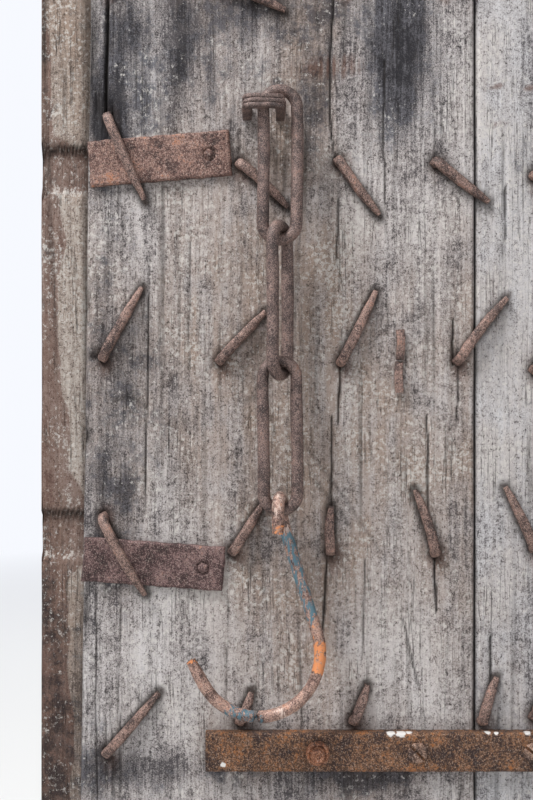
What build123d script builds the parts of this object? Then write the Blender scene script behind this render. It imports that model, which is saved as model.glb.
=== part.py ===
"""An arched plank door in its oak frame, modelled with the leaf standing open at a right angle.

+Z is up, +Y is outdoors and the origin is the middle of the sill's underside. The leaf turns on two
pintles at +X and reaches indoors, so its inner face, with the chain and hook, looks along +X.
"""

import os
from math import cos, hypot, radians, sin

from build123d import *

# Frame
stop_radius = 498.0
rebate_width = 24.0
jamb_width = 90.0
frame_depth = 100.0
sill_height = 60.0
jamb_length = 1500.0
head_segment_count = 3
peg_radius = 8.0
peg_turn = 4.0
wall_bolt_hole_radius = 6.5
wall_bolt_first = 250.0
wall_bolt_spacing = 900.0

# Leaf and its two layers
edge_gap = 4.0
foot_gap = 6.0
seat_gap = 0.5
outer_layer = 28.0
inner_layer = 30.0
lip_width = 37.0
stile_width = 110.0
board_count = 8
plank_widths = (256.0, 232.0, 244.0)
plank_gap = 1.2
plank_wander = ((-186.0, -4.0), (342.0, 2.0))
notch_height = 31.0
notch_depth = 4.0

# Nails: shank and leg sections, and where the plain rows stand in a board
shank_width = 6.2
leg_height = 5.4
tip_width = 2.4
tip_sink = 0.8
nail_head_width = 20.0
nail_head_height = 7.0
lower_row_rise = 100.0
upper_row_drop = 24.5
column_insets = (38.0, 60.0)
nail_margin = 22.0
lower_row_lean = (61.0, 48.0)
upper_row_lean = (-47.0, 45.0)
first_columns = (50.0, 132.0, 205.0, 271.0)
nail_unevenness = (2.3, 7.0, 3.5)
unevenness_step = 2.3

# The row along the lower hinge strap
strap_row = 3
strap_row_gap = 4.5
strap_row_lean = (70.0, 36.0)

# Rows that the inner face shows at the free edge: inset, height over their joint, turn, length, lift.
# The joint is the datum, and from upper_joint_row on the joint one board higher.
upper_joint_row = 6
seen_nails = {
    3: [(50, -155, 49, 53), (138, -134, 68, 21), (213, -134, 69, 26), (298, -134, 72, 31)],
    4: [
        (48, 1, -61, 58, 3.9),
        (133.5, -22, 58, 38),
        (198, -22, 89, 30),
        (267, -23, 108, 44),
        (332, -20, 115, 45),
    ],
    5: [(48, 106, 61, 53), (125, 104, 47, 44), (205, 103, 64, 52), (282, 104, 52, 52)],
    6: [(51, 13.5, -66, 61, 3.9), (138, -17.5, -42, 43), (203, -15.5, -53, 45), (267, -16.5, -37, 44)],
    7: [(50, 100.5, 61, 48), (127, 101.5, -24, 45), (205, 100.5, 61, 48), (271, 100.5, 61, 48)],
}

# Hinge straps and pintles
strap_height = 25.5
strap_thickness = 8.0
strap_start = 116.0
lower_strap_drop = 151.8
upper_strap_board = 5
strap_bolt_inset = 73.0
hinge_edge_bolt_inset = 66.0
strap_screw_insets = (138.2, 213.8, 446.0, 676.0)
pin_radius = 8.0
pin_clearance = 0.05
pin_inset = 38.0
pin_end = 9.0
seat_clearance = 0.3
stem_height = 16.0
stem_width = 16.0
stem_bite = 80.0
eye_slit = 1.5

# Strap fasteners
bolt_ring_radius = 7.8
bolt_ring_height = 4.0
bolt_radius = 4.6
bolt_end = 9.0
bolt_head_radius = 12.0
bolt_head_height = 5.0
bolt_head_taper = 30.0
screw_head_radius = 6.6
screw_head_height = 1.8
screw_radius = 2.6
screw_length = 40.0
slot_width = 1.6
slot_depth = 1.2
slot_turn = -45.0

# Short straps left at the free edge: inset, height over the datum joint, length, height, tilt
edge_strap_thickness = 3.0
upper_edge_strap_at = (85.5, 237.0, 93.5, 30.0, 4.7)
lower_edge_strap_at = (81.5, -30.0, 93.0, 29.0, -4.3)
edge_strap_hole_radius = 4.2
edge_strap_nail_inset = 14.0
small_nail_radius = 3.2
small_nail_length = 30.0

# Facets of round bars: sides of a bar, of a small disc, and steps along a half bend, throat and ring
wire_sides = 8
small_sides = 10
bend_steps = 8
throat_steps = 11
ring_steps = 18
ring_sides = 6

# Chain: wire, one link, how far a link rides up on a turned one, and the turn
wire_radius = 3.95
link_width = 29.4
link_length = 103.6
link_nest = 1.3
link_turn = 63.0
chain_inset = 164.5
chain_stand = 20.0
chain_rise = 265.3
staple_leg = 6.0
staple_height = 8.6
staple_span = 21.5
staple_bar = 6.2
staple_bite = 26.0
staple_corner = 2.0
staple_clearance = 1.1

# Hook
hook_radius = 3.85
hook_eye_play = 0.55
hook_eye_skew = 0.17
hook_tail = 14.5
hook_tilt = 5.3
neck_radius = 38.8
neck_turn = 17.1
hook_shank = 70.7
throat_radius = 39.8
throat_turn = 167.6
hook_point = 17.0

# Split pin, its ring and plate on the outer face
split_pin_at = (243.5, 104.0)
split_pin_width = 5.6
split_leg = 2.6
split_leg_length = 20.0
split_eye_radius = 5.0
ring_clearance = 0.65
ring_radius = 30.0
ring_wire_radius = 3.4
ring_plate_size = 46.0
ring_plate_thickness = 3.0
ring_plate_corner = 8.0

# Keeper on the latch jamb
keeper_drop = 60.0
keeper_span = 46.0
keeper_reach = 24.0
keeper_bar = 9.0
keeper_bite = 34.0

# Sizes that follow from those above
rebate_radius = stop_radius + rebate_width
frame_radius = rebate_radius + jamb_width
spring = sill_height + jamb_length
indoors = -frame_depth / 2
outdoors = frame_depth / 2
leaf_thickness = outer_layer + inner_layer
stop_face = indoors + leaf_thickness
leaf_radius = rebate_radius - edge_gap
inner_radius = leaf_radius - lip_width
notch_width = lip_width + max(wander for _, wander in plank_wander)
leaf_foot = sill_height + foot_gap
board_height = (spring + leaf_radius - leaf_foot) / board_count
datum = leaf_foot + 2 * board_height
eye_radius = pin_radius + pin_clearance + strap_thickness
pin_x = rebate_radius + pin_inset
pin_y = indoors - seat_gap - eye_radius
pin_run = leaf_radius + pin_x
leaf = Plane(origin=(pin_x - eye_radius, pin_y - pin_run, 0), x_dir=(0, 1, 0), z_dir=(1, 0, 0))
between_rows = (lower_row_rise + board_height - upper_row_drop) / 2
strap_heights = {
    "lower": datum - lower_strap_drop,
    "upper": leaf_foot + upper_strap_board * board_height + between_rows,
}

os.makedirs("parts", exist_ok=True)


def finish(piece, name):
    """Label one finished piece and write it."""
    piece.part.label = name
    export_step(piece.part, f"parts/{name}.step")


def on_leaf(inset, height, out=0.0, turn=(0, 0, 0)):
    """A plane on the leaf: inset from its free edge, height over the floor, out from its inner face."""
    return Plane(leaf.location * Location((inset, height, out), turn))


def level(height):
    """A level plane through the leaf: x runs in from its free edge, y stands out from its inner face."""
    return Plane(origin=leaf.origin + Vector(0, 0, height), x_dir=(0, 1, 0), z_dir=(0, 0, -1))


# Frame

def frame_section(plane):
    """The rebated section of a jamb: x is the distance from the doorway's middle, y is outdoors."""
    with BuildSketch(plane) as section:
        with BuildLine():
            Polyline(
                (rebate_radius, indoors),
                (frame_radius, indoors),
                (frame_radius, outdoors),
                (stop_radius, outdoors),
                (stop_radius, stop_face),
                (rebate_radius, stop_face),
                close=True,
            )
        make_face()
    return section.sketch


def jamb(side):
    """One jamb, bored through its thick outdoor part for the wall bolts."""
    with BuildPart() as post:
        add(frame_section(Plane.XY.offset(sill_height)))
        extrude(amount=jamb_length)
        bolt_face = Plane(origin=(0, (stop_face + outdoors) / 2, 0), x_dir=(0, 1, 0), z_dir=(1, 0, 0))
        with BuildSketch(bolt_face):
            for step in range(2):
                with Locations((0, sill_height + wall_bolt_first + step * wall_bolt_spacing)):
                    Circle(wall_bolt_hole_radius)
        extrude(amount=2 * frame_radius, mode=Mode.SUBTRACT)
        if side < 0:
            mirror(about=Plane.YZ, mode=Mode.REPLACE)
    return post


with BuildPart() as sill:
    with BuildSketch():
        Rectangle(2 * frame_radius, frame_depth)
    extrude(amount=sill_height)
finish(sill, "sill")
finish(jamb(1), "hinge_jamb")
finish(jamb(-1), "latch_jamb")

arch_axis = Axis((0, 0, spring), (0, -1, 0))
segment_turn = 180 / head_segment_count
for number in range(head_segment_count):
    start = radians(number * segment_turn)
    with BuildPart() as head_segment:
        add(frame_section(Plane((0, 0, spring), (cos(start), 0, sin(start)), (-sin(start), 0, cos(start)))))
        revolve(axis=arch_axis, revolution_arc=segment_turn)
    finish(head_segment, f"head_segment_{number + 1}")

with BuildPart() as frame_pegs:
    peg_ring = (rebate_radius + frame_radius) / 2
    for joint in range(head_segment_count + 1):
        for way in (-1, 1):
            angle = radians(joint * segment_turn + way * peg_turn)
            with BuildSketch(Plane((0, indoors, spring), (1, 0, 0), (0, 1, 0))):
                with Locations((peg_ring * cos(angle), -peg_ring * sin(angle))):
                    RegularPolygon(peg_radius, wire_sides)
            extrude(amount=frame_depth)
finish(frame_pegs, "frame_pegs")

with BuildPart() as keeper_staple:
    keeper_plane = Plane((-peg_ring, indoors, datum - keeper_drop), (0, -1, 0), (1, 0, 0))
    with BuildSketch(keeper_plane):
        with Locations((-keeper_bite, 0)):
            Rectangle(
                keeper_bite + keeper_reach + keeper_bar, keeper_span, align=(Align.MIN, Align.CENTER)
            )
            Rectangle(
                keeper_bite + keeper_reach,
                keeper_span - 2 * keeper_bar,
                align=(Align.MIN, Align.CENTER),
                mode=Mode.SUBTRACT,
            )
    extrude(amount=keeper_bar / 2, both=True)
finish(keeper_staple, "keeper_staple")


# Leaf: two layers of boards

def round_head(radius):
    """The outline of one layer, square at the foot and half round at the head."""
    with BuildSketch() as outline:
        with Locations((leaf_radius, (leaf_foot + spring) / 2)):
            Rectangle(2 * radius, spring - leaf_foot)
        with Locations((leaf_radius, spring)):
            Circle(radius)
    return outline.sketch


def board(radius, left, right, low, high, back, thickness):
    """One board of a layer, its ends cut to the layer's outline."""
    with BuildPart() as timber:
        with BuildSketch(leaf.offset(back)):
            add(round_head(radius))
            with Locations(((left + right) / 2, (low + high) / 2)):
                Rectangle(right - left, high - low, mode=Mode.INTERSECT)
        extrude(amount=thickness)
    return timber


leaf_top = spring + leaf_radius
inner_left = lip_width
inner_right = 2 * leaf_radius - lip_width
plank_edges = [inner_left]
for width in plank_widths:
    plank_edges.append(plank_edges[-1] + width + plank_gap)
plank_edges.append(inner_right + plank_gap)

with BuildPart() as inner_plank_1:
    left, right = plank_edges[0], plank_edges[1] - plank_gap
    with BuildSketch(leaf.offset(-inner_layer)):
        add(round_head(inner_radius))
        with Locations(((left + right) / 2, (spring + leaf_top) / 2)):
            Rectangle(right - left, leaf_top - spring, mode=Mode.INTERSECT)
        with BuildLine():
            Polyline(
                (left + plank_wander[0][1], leaf_foot),
                *[(left + wander, datum + rise) for rise, wander in plank_wander],
                (left, spring),
                (right, spring),
                (right, leaf_foot),
                close=True,
            )
        make_face()
    extrude(amount=inner_layer)
finish(inner_plank_1, "inner_plank_1")
for number in range(2, len(plank_edges)):
    left, right = plank_edges[number - 1], plank_edges[number] - plank_gap
    finish(
        board(inner_radius, left, right, leaf_foot, leaf_top, -inner_layer, inner_layer),
        f"inner_plank_{number}",
    )

hinge_stile_left = 2 * leaf_radius - stile_width
for number in range(board_count):
    low = leaf_foot + number * board_height
    timber = board(
        leaf_radius, stile_width, hinge_stile_left, low, low + board_height, -leaf_thickness, outer_layer
    )
    finish(timber, f"outer_board_{number + 1}")
finish(
    board(leaf_radius, hinge_stile_left, 2 * leaf_radius, leaf_foot, leaf_top, -leaf_thickness, outer_layer),
    "hinge_stile",
)
with BuildPart() as free_stile:
    add(board(leaf_radius, 0, stile_width, leaf_foot, leaf_top, -leaf_thickness, outer_layer).part)
    with BuildSketch(leaf.offset(-inner_layer - notch_depth)):
        for joint in (datum, datum + board_height):
            with Locations((0, joint - notch_height / 2)):
                Rectangle(2 * notch_width, notch_height)
    extrude(amount=notch_depth, mode=Mode.SUBTRACT)
finish(free_stile, "free_stile")


# Nails, driven from the outer face, their points turned over on the inner face

def nail(inset, height, turn, length, lift=0.0):
    """One nail: a pyramid head, a square shank and a tapered leg laid over along turn degrees."""
    entry = on_leaf(inset, height, -leaf_thickness, (0, 0, turn))
    side_view = Plane(entry.location * Location((0, 0, 0), (90, 0, 0)))
    half = shank_width / 2
    underside = leaf_thickness + lift
    tip_low = underside - tip_sink
    with BuildPart() as piece:
        with BuildSketch(side_view):
            with BuildLine():
                Polyline(
                    (-half, 0),
                    (half, 0),
                    (half, underside),
                    (length, tip_low),
                    (length, tip_low + tip_width),
                    (-half, underside + leg_height),
                    close=True,
                )
            make_face()
        extrude(amount=shank_width, both=True)
        with BuildSketch(entry):
            with BuildLine():
                Polyline(
                    (-half, -half),
                    (half, -half),
                    (length, -tip_width / 2),
                    (length, tip_width / 2),
                    (half, half),
                    (-half, half),
                    close=True,
                )
            make_face()
        extrude(amount=2 * leaf_thickness, mode=Mode.INTERSECT)
        with BuildSketch(entry) as collar:
            Rectangle(nail_head_width, nail_head_width)
        loft(sections=[collar.sketch, Vertex(*entry.offset(-nail_head_height).origin)], clean=False)
    return piece.part


def inside_head(inset, height):
    """Whether a nail there is clear of the round head of the inner layer."""
    if height <= spring:
        return inner_radius - abs(inset - leaf_radius) > nail_margin / 2
    return hypot(inset - leaf_radius, height - spring) < inner_radius - nail_margin


plank_columns = []
for number in range(1, len(plank_edges) - 1):
    left, right = plank_edges[number], plank_edges[number + 1] - plank_gap
    inset = column_insets[min(number, 2) - 1]
    plank_columns += [left + inset, right - inset]

for row in range(1, 2 * board_count):
    upper_row = row % 2 == 0
    height = leaf_foot + (row - 1) // 2 * board_height
    height += board_height - upper_row_drop if upper_row else lower_row_rise
    lean, length = upper_row_lean if upper_row else lower_row_lean
    joint = datum + board_height if row >= upper_joint_row else datum
    nails = [(inset, joint + rise, *rest) for inset, rise, *rest in seen_nails.get(row, [])]
    columns = plank_columns if row in seen_nails else [*first_columns, *plank_columns]
    if row == strap_row:
        height = strap_heights["lower"] + (strap_height + shank_width) / 2 + strap_row_gap
        lean, length = strap_row_lean
    taken = max([inset for inset, *_ in nails], default=0)
    for place, inset in enumerate(columns):
        wave = sin(unevenness_step * place + row)
        rise, twist, growth = [size * wave for size in nail_unevenness]
        if inside_head(inset, height) and inset > taken + shank_width:
            nails.append((inset, height + rise, lean + twist, length + growth))
    pieces = [nail(*place) for place in nails]
    with BuildPart() as nail_row:
        add(pieces, clean=False)
    finish(nail_row, f"nail_row_{row}")


# Hinge straps with rolled eyes, their fasteners and the pintles that they turn on

for name, height in strap_heights.items():
    middle = level(height)
    bolts = [(strap_start + strap_bolt_inset, height), (2 * leaf_radius - hinge_edge_bolt_inset, height)]
    screws = [(strap_start + inset, height) for inset in strap_screw_insets]
    with BuildPart() as hinge_strap:
        with BuildSketch(middle):
            with Locations(((strap_start + pin_run) / 2, strap_thickness / 2)):
                Rectangle(pin_run - strap_start, strap_thickness)
            with Locations((pin_run, eye_radius)):
                Circle(eye_radius)
                Circle(pin_radius + pin_clearance, mode=Mode.SUBTRACT)
            with Locations((pin_run - eye_radius, strap_thickness + eye_slit / 2)):
                Rectangle(eye_radius, eye_slit, mode=Mode.SUBTRACT)
        extrude(amount=strap_height / 2, both=True)
    finish(hinge_strap, f"{name}_hinge_strap")

    with BuildPart() as strap_bolts:
        with BuildSketch(leaf.offset(-leaf_thickness)):
            with Locations(*bolts):
                RegularPolygon(bolt_radius, wire_sides)
        extrude(amount=leaf_thickness + strap_thickness + bolt_end)
        with BuildSketch(leaf.offset(strap_thickness)):
            with Locations(*bolts):
                RegularPolygon(bolt_ring_radius, small_sides)
        extrude(amount=bolt_ring_height)
        with BuildSketch(leaf.offset(-leaf_thickness)):
            with Locations(*bolts):
                RegularPolygon(bolt_head_radius, small_sides)
        extrude(amount=-bolt_head_height, taper=bolt_head_taper)
    finish(strap_bolts, f"{name}_strap_bolts")

    with BuildPart() as strap_screws:
        with BuildSketch(leaf.offset(strap_thickness - screw_length)):
            with Locations(*screws):
                Rectangle(2 * screw_radius, 2 * screw_radius)
        extrude(amount=screw_length)
        with BuildSketch(leaf.offset(strap_thickness)):
            with Locations(*screws):
                RegularPolygon(screw_head_radius, small_sides)
        extrude(amount=screw_head_height)
        with BuildSketch(leaf.offset(strap_thickness + screw_head_height - slot_depth)):
            with Locations(*[Location((*spot, 0), (0, 0, slot_turn)) for spot in screws]):
                Rectangle(3 * screw_head_radius, slot_width)
        extrude(amount=slot_depth, mode=Mode.SUBTRACT)
    finish(strap_screws, f"{name}_strap_screws")

    seat = height - strap_height / 2 - seat_clearance
    with BuildPart() as pintle:
        with BuildSketch(Plane((pin_x, pin_y, seat))):
            Circle(pin_radius)
        extrude(amount=seat_clearance + strap_height + pin_end)
        with BuildSketch(Plane((pin_x, 0, seat), (0, 1, 0), (1, 0, 0))):
            with BuildLine():
                Polyline(
                    (pin_y - stem_width / 2, 0),
                    (indoors + stem_bite, 0),
                    (indoors + stem_bite / 3, -stem_height),
                    (pin_y - stem_width / 2, -stem_height),
                    close=True,
                )
            make_face()
        extrude(amount=stem_width / 2, both=True)
    finish(pintle, f"{name}_pintle")


# Short straps at the free edge, each with its hole and small nail

edge_strap_nails = []
for name, (inset, rise, length, height, tilt) in {
    "upper": upper_edge_strap_at,
    "lower": lower_edge_strap_at,
}.items():
    middle = on_leaf(inset, datum + rise, 0, (0, 0, tilt))
    hole_inset = length / 2 - edge_strap_nail_inset
    with BuildPart() as edge_strap:
        with BuildSketch(middle):
            Rectangle(length, height)
            with Locations((hole_inset, 0)):
                RegularPolygon(edge_strap_hole_radius, small_sides, mode=Mode.SUBTRACT)
        extrude(amount=edge_strap_thickness)
    finish(edge_strap, f"{name}_edge_strap")
    with BuildPart() as small_nail:
        with BuildSketch(middle.offset(-small_nail_length)):
            with Locations((hole_inset, 0)):
                Rectangle(small_nail_radius, small_nail_radius)
        extrude(amount=small_nail_length)
        with BuildSketch(middle):
            with Locations((hole_inset, 0)):
                RegularPolygon(small_nail_radius, wire_sides)
        extrude(amount=edge_strap_thickness)
    edge_strap_nails.append(small_nail.part)
with BuildPart() as edge_nails:
    add(edge_strap_nails)
finish(edge_nails, "edge_strap_nails")


# Chain: a staple, three links, each hung in the one above, and the hook

bend_radius = link_width / 2 - wire_radius
straight = (link_length - link_width) / 2
link_pitch = link_length - 4 * wire_radius - link_nest
first_link = datum + chain_rise - straight
link_heights = [first_link - number * link_pitch for number in range(3)]

with BuildPart() as chain_staple:
    bar_bottom = chain_stand + wire_radius + staple_clearance
    leg_top = datum + chain_rise + bend_radius - wire_radius - staple_clearance
    reach = bar_bottom + staple_bar + staple_bite
    with BuildSketch(level(leg_top - staple_height / 2)):
        with Locations((chain_inset - staple_span / 2, -staple_bite)):
            crown = Rectangle(staple_span + staple_leg, reach, align=(Align.CENTER, Align.MIN))
            chamfer(crown.vertices().group_by(Axis.Y)[-1], staple_corner)
            Rectangle(
                staple_span - staple_leg,
                staple_bite + bar_bottom,
                align=(Align.CENTER, Align.MIN),
                mode=Mode.SUBTRACT,
            )
    extrude(amount=staple_height / 2, both=True)
finish(chain_staple, "chain_staple")

def bend(centre, radius, start, turn, steps):
    """Points round one bend of a bar, from start through turn degrees."""
    angles = [radians(start + turn * step / steps) for step in range(steps + 1)]
    return [(centre[0] + radius * cos(angle), centre[1] + radius * sin(angle)) for angle in angles]


for number, height in enumerate(link_heights):
    middle = on_leaf(chain_inset, height, chain_stand, (0, link_turn if number == 1 else 0, 0))
    with BuildPart() as chain_link:
        with BuildLine(middle) as course:
            Polyline(
                (bend_radius, 0),
                *bend((0, straight), bend_radius, 0, 180, bend_steps),
                *bend((0, -straight), bend_radius, 180, 180, bend_steps),
                (bend_radius, 0),
            )
        with BuildSketch(Plane(middle.location * Location((bend_radius, 0, 0), (-90, 0, 0)))):
            RegularPolygon(wire_radius, wire_sides, rotation=180 / wire_sides)
        sweep(path=course.line, transition=Transition.RIGHT)
    finish(chain_link, f"chain_link_{number + 1}")

hook_pivot = link_heights[-1] - straight - bend_radius
eye_bend = wire_radius + hook_radius + hook_eye_play
eye_shift = hook_eye_skew * eye_bend
hook_plane = on_leaf(chain_inset, hook_pivot, chain_stand, (-hook_tilt, 0, 0))
with BuildPart() as hook:
    with BuildLine(hook_plane, mode=Mode.PRIVATE) as bow:
        neck = JernArc((eye_shift, 0, -eye_bend), (0, -1), neck_radius, neck_turn)
        shank = PolarLine(neck @ 1, hook_shank, direction=neck % 1)
        throat = JernArc(shank @ 1, shank % 1, throat_radius, -throat_turn)
        point = PolarLine(throat @ 1, hook_point, direction=throat % 1)
    eye = [(-hook_eye_skew * z, y, z) for z, y in bend((0, 0), eye_bend, 0, 180, bend_steps)]
    with BuildLine() as course:
        Polyline(
            *[hook_plane.from_local_coords(spot) for spot in [(-eye_shift, -hook_tail, eye_bend), *eye]],
            neck @ 0.5,
            neck @ 1,
            *[throat @ (step / throat_steps) for step in range(throat_steps + 1)],
            point @ 1,
        )
    with BuildSketch(Plane(hook_plane.location * Location((-eye_shift, -hook_tail, eye_bend), (-90, 0, 0)))):
        RegularPolygon(hook_radius, wire_sides, rotation=180 / wire_sides)
    sweep(path=course.line, transition=Transition.RIGHT)
finish(hook, "hook")


# Split pin through the leaf, with the ring and plate that it holds outdoors

pin_inset_at, pin_rise = split_pin_at
eye_out = -leaf_thickness - ring_plate_thickness - split_eye_radius - split_leg
side_view = Plane(origin=on_leaf(pin_inset_at, datum + pin_rise).origin, x_dir=(1, 0, 0), z_dir=(0, -1, 0))
with BuildPart() as split_pin:
    with BuildSketch(side_view):
        with Locations((eye_out, 0)):
            RegularPolygon(split_eye_radius + split_leg, small_sides)
            RegularPolygon(split_eye_radius, small_sides, mode=Mode.SUBTRACT)
        leg_run = -eye_out - split_eye_radius + split_leg
        with Locations((split_leg - leg_run / 2, 0)):
            Rectangle(leg_run, 2 * split_leg)
        with Locations((split_leg / 2, 0)):
            Rectangle(split_leg, 2 * split_leg_length)
    extrude(amount=split_pin_width / 2, both=True)
finish(split_pin, "split_pin")

with BuildPart() as ring_pull_plate:
    with BuildSketch(on_leaf(pin_inset_at, datum + pin_rise, -leaf_thickness)):
        plate = Rectangle(ring_plate_size, ring_plate_size)
        chamfer(plate.vertices(), ring_plate_corner)
    extrude(amount=-ring_plate_thickness)
finish(ring_pull_plate, "ring_pull_plate")

ring_hang = split_eye_radius - ring_wire_radius - ring_clearance
ring_step = 360 / ring_steps
ring_middle = on_leaf(pin_inset_at, datum + pin_rise - ring_hang - ring_radius, eye_out)
with BuildPart() as ring_pull:
    with BuildLine(ring_middle) as course:
        Polyline(*bend((0, 0), ring_radius, ring_step / 2, 360, ring_steps))
    with BuildSketch(Plane(course.line @ 0, z_dir=course.line % 0)):
        RegularPolygon(ring_wire_radius, ring_sides)
    sweep(path=course.line, transition=Transition.RIGHT)
finish(ring_pull, "ring_pull")
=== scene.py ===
"""An arched plank door standing open: its inner face with the chain, hook and turned-over nails."""

import math

import bmesh
import bpy
import numpy as np
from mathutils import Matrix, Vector


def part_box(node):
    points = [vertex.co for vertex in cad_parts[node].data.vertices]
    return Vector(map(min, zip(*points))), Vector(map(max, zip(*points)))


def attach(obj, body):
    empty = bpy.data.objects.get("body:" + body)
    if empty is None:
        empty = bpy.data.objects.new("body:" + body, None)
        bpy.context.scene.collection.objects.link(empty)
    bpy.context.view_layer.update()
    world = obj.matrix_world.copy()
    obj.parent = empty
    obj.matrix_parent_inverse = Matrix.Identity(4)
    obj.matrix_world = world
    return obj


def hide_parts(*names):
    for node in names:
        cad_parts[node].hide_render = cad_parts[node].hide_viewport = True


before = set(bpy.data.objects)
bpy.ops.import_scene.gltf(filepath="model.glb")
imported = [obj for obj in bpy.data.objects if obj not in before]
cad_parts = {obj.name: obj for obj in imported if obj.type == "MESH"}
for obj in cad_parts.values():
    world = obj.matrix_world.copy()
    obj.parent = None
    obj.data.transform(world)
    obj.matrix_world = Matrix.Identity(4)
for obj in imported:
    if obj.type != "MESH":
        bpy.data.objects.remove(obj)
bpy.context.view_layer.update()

# The leaf, in millimetres: inset runs in from its free edge, height up from the floor, and out stands
# out from its inner face towards the camera.
MM = 0.001
face_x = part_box("inner_plank_2")[1][0]
edge_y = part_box("free_stile")[0][1]
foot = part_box("inner_plank_1")[0][2] / MM
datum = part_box("outer_board_3")[0][2] / MM
board_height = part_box("outer_board_3")[1][2] / MM - datum
inner_layer = (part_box("inner_plank_2")[1][0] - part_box("inner_plank_2")[0][0]) / MM
leaf_thickness = (face_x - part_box("free_stile")[0][0]) / MM
spring = 1560.0
leaf_radius = 518.0
lip_width = 37.0
inner_radius = leaf_radius - lip_width
stile_width = 110.0
notch_height = 31.0
notch_depth = 4.0


def place(inset, height, out):
    """World places of spots on the leaf."""
    inset, height, out = np.broadcast_arrays(inset, height, out)
    return np.stack([face_x + out * MM, edge_y + inset * MM, height * MM], axis=-1)


def seen(x, y):
    """The inset and height of a spot measured on the photograph, for what lies on the inner face."""
    mm_per_pixel, edge_pixel, top_height = 0.66, 30.0, 911.0
    return (x - edge_pixel) * mm_per_pixel, top_height - mm_per_pixel * y


def seen_spots(*spots):
    """Spots whose centres were measured on the photograph, each with what else it has."""
    return [(seen(*centre), *rest) for centre, *rest in spots]


def show(name, data):
    """An object in the scene that holds this data."""
    made = bpy.data.objects.new(name, data)
    bpy.context.collection.objects.link(made)
    return made


# Camera: its distance from the planks, its inset and its height, in metres

camera_distance, camera_inset, camera_height = 0.645, 0.1558, 0.647
camera = show("camera", bpy.data.cameras.new("camera"))
camera.data.lens = 44.0
camera.data.sensor_width = 36.0
camera.location = (face_x + camera_distance, edge_y + camera_inset, camera_height)
camera.rotation_euler = (math.pi / 2, 0, math.pi / 2)
camera.data.clip_start = 0.01
bpy.context.scene.camera = camera
bpy.context.scene.view_settings.view_transform = "Standard"


# Noise on numbers, for the relief of the boards

def lattice_noise(x, y, seed):
    """Smooth noise from -1 to 1."""
    table = np.random.default_rng(seed).random((256, 256)) * 2 - 1
    cell_x, cell_y = np.floor(x).astype(int), np.floor(y).astype(int)
    part_x, part_y = x - cell_x, y - cell_y
    part_x, part_y = part_x * part_x * (3 - 2 * part_x), part_y * part_y * (3 - 2 * part_y)
    low_x, high_x, low_y, high_y = cell_x & 255, (cell_x + 1) & 255, cell_y & 255, (cell_y + 1) & 255
    near = table[low_x, low_y] * (1 - part_x) + table[high_x, low_y] * part_x
    far = table[low_x, high_y] * (1 - part_x) + table[high_x, high_y] * part_x
    return near * (1 - part_y) + far * part_y


def rough_noise(x, y, seed, octaves=3):
    """Noise with finer noise on it."""
    total, weight = 0.0, 1.0
    for octave in range(octaves):
        total = total + weight * lattice_noise(x * 2**octave, y * 2**octave, seed + octave)
        weight *= 0.5
    return total / (2 - 2 * weight)


def path_distance(u, v, path):
    """How far each spot is from a drawn line, and how far along the line its nearest point is."""
    nearest = np.full(u.shape, 1e6)
    along = np.zeros(u.shape)
    lengths = [math.dist(a, b) for a, b in zip(path, path[1:])]
    done, whole = 0.0, sum(lengths)
    for (a, b), length in zip(zip(path, path[1:]), lengths):
        part = ((u - a[0]) * (b[0] - a[0]) + (v - a[1]) * (b[1] - a[1])) / length**2
        part = np.clip(part, 0, 1)
        gap = np.hypot(u - a[0] - part * (b[0] - a[0]), v - a[1] - part * (b[1] - a[1]))
        closer = gap < nearest
        nearest = np.where(closer, gap, nearest)
        along = np.where(closer, (done + part * length) / whole, along)
        done += length
    return nearest, along


def spot_falloff(u, v, centre, size):
    """A soft spot: 1 at its centre, falling away over its half width and half height."""
    return np.exp(-(((u - centre[0]) / size[0]) ** 2) - ((v - centre[1]) / size[1]) ** 2)


# Meshes

def turn_outwards(mesh, flat_angle=None):
    """Merge doubled points, join faces that lie flatter than flat_angle, and turn all faces outwards."""
    work = bmesh.new()
    work.from_mesh(mesh)
    bmesh.ops.remove_doubles(work, verts=work.verts, dist=1e-6)
    if flat_angle:
        bmesh.ops.dissolve_limit(work, angle_limit=flat_angle, verts=work.verts, edges=work.edges)
    bmesh.ops.recalc_face_normals(work, faces=work.faces)
    work.to_mesh(mesh)
    work.free()
    mesh.shade_smooth()


def store(mesh, mark, values):
    """Keep one value for each point of a mesh."""
    layer = mesh.attributes.new(mark, "FLOAT", "POINT")
    layer.data.foreach_set("value", np.ascontiguousarray(values, dtype=np.float32))


def new_piece(name, points, faces, marks=None):
    """A mesh piece with its faces turned outwards."""
    mesh = bpy.data.meshes.new(name)
    mesh.from_pydata([tuple(p) for p in points], [], faces)
    for mark, values in (marks or {}).items():
        store(mesh, mark, values)
    piece = show(name, mesh)
    turn_outwards(mesh)
    return piece


def modified_mesh(piece):
    """The plain mesh that comes out of a piece's modifiers, which are then taken off."""
    bpy.context.view_layer.update()
    mesh = bpy.data.meshes.new_from_object(piece.evaluated_get(bpy.context.evaluated_depsgraph_get()))
    piece.modifiers.clear()
    return mesh


def sheet(shape):
    """The quads of a grid of points, and the points round its rim in order."""
    index = np.arange(shape[0] * shape[1]).reshape(shape)
    quads = np.stack([index[:-1, :-1], index[1:, :-1], index[1:, 1:], index[:-1, 1:]], -1).reshape(-1, 4)
    return quads, np.concatenate([index[:-1, 0], index[-1, :-1], index[:0:-1, -1], index[0, :0:-1]])


def over_flat_back(quads, ring, count):
    """The faces of a grid of count points over one flat face whose corners lie behind its rim."""
    turn = np.arange(len(ring))
    sides = np.stack([ring, np.roll(ring, -1), (turn + 1) % len(ring) + count, turn + count], -1)
    return quads.tolist() + sides.tolist() + [(count + turn).tolist()]


# Marks kept on the boards' points. The first is painted shade: it darkens grooves, cracks, dents, nail holes and
# worn edges.
board_marks = ("hollow", "tone", "warm", "stain")


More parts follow.
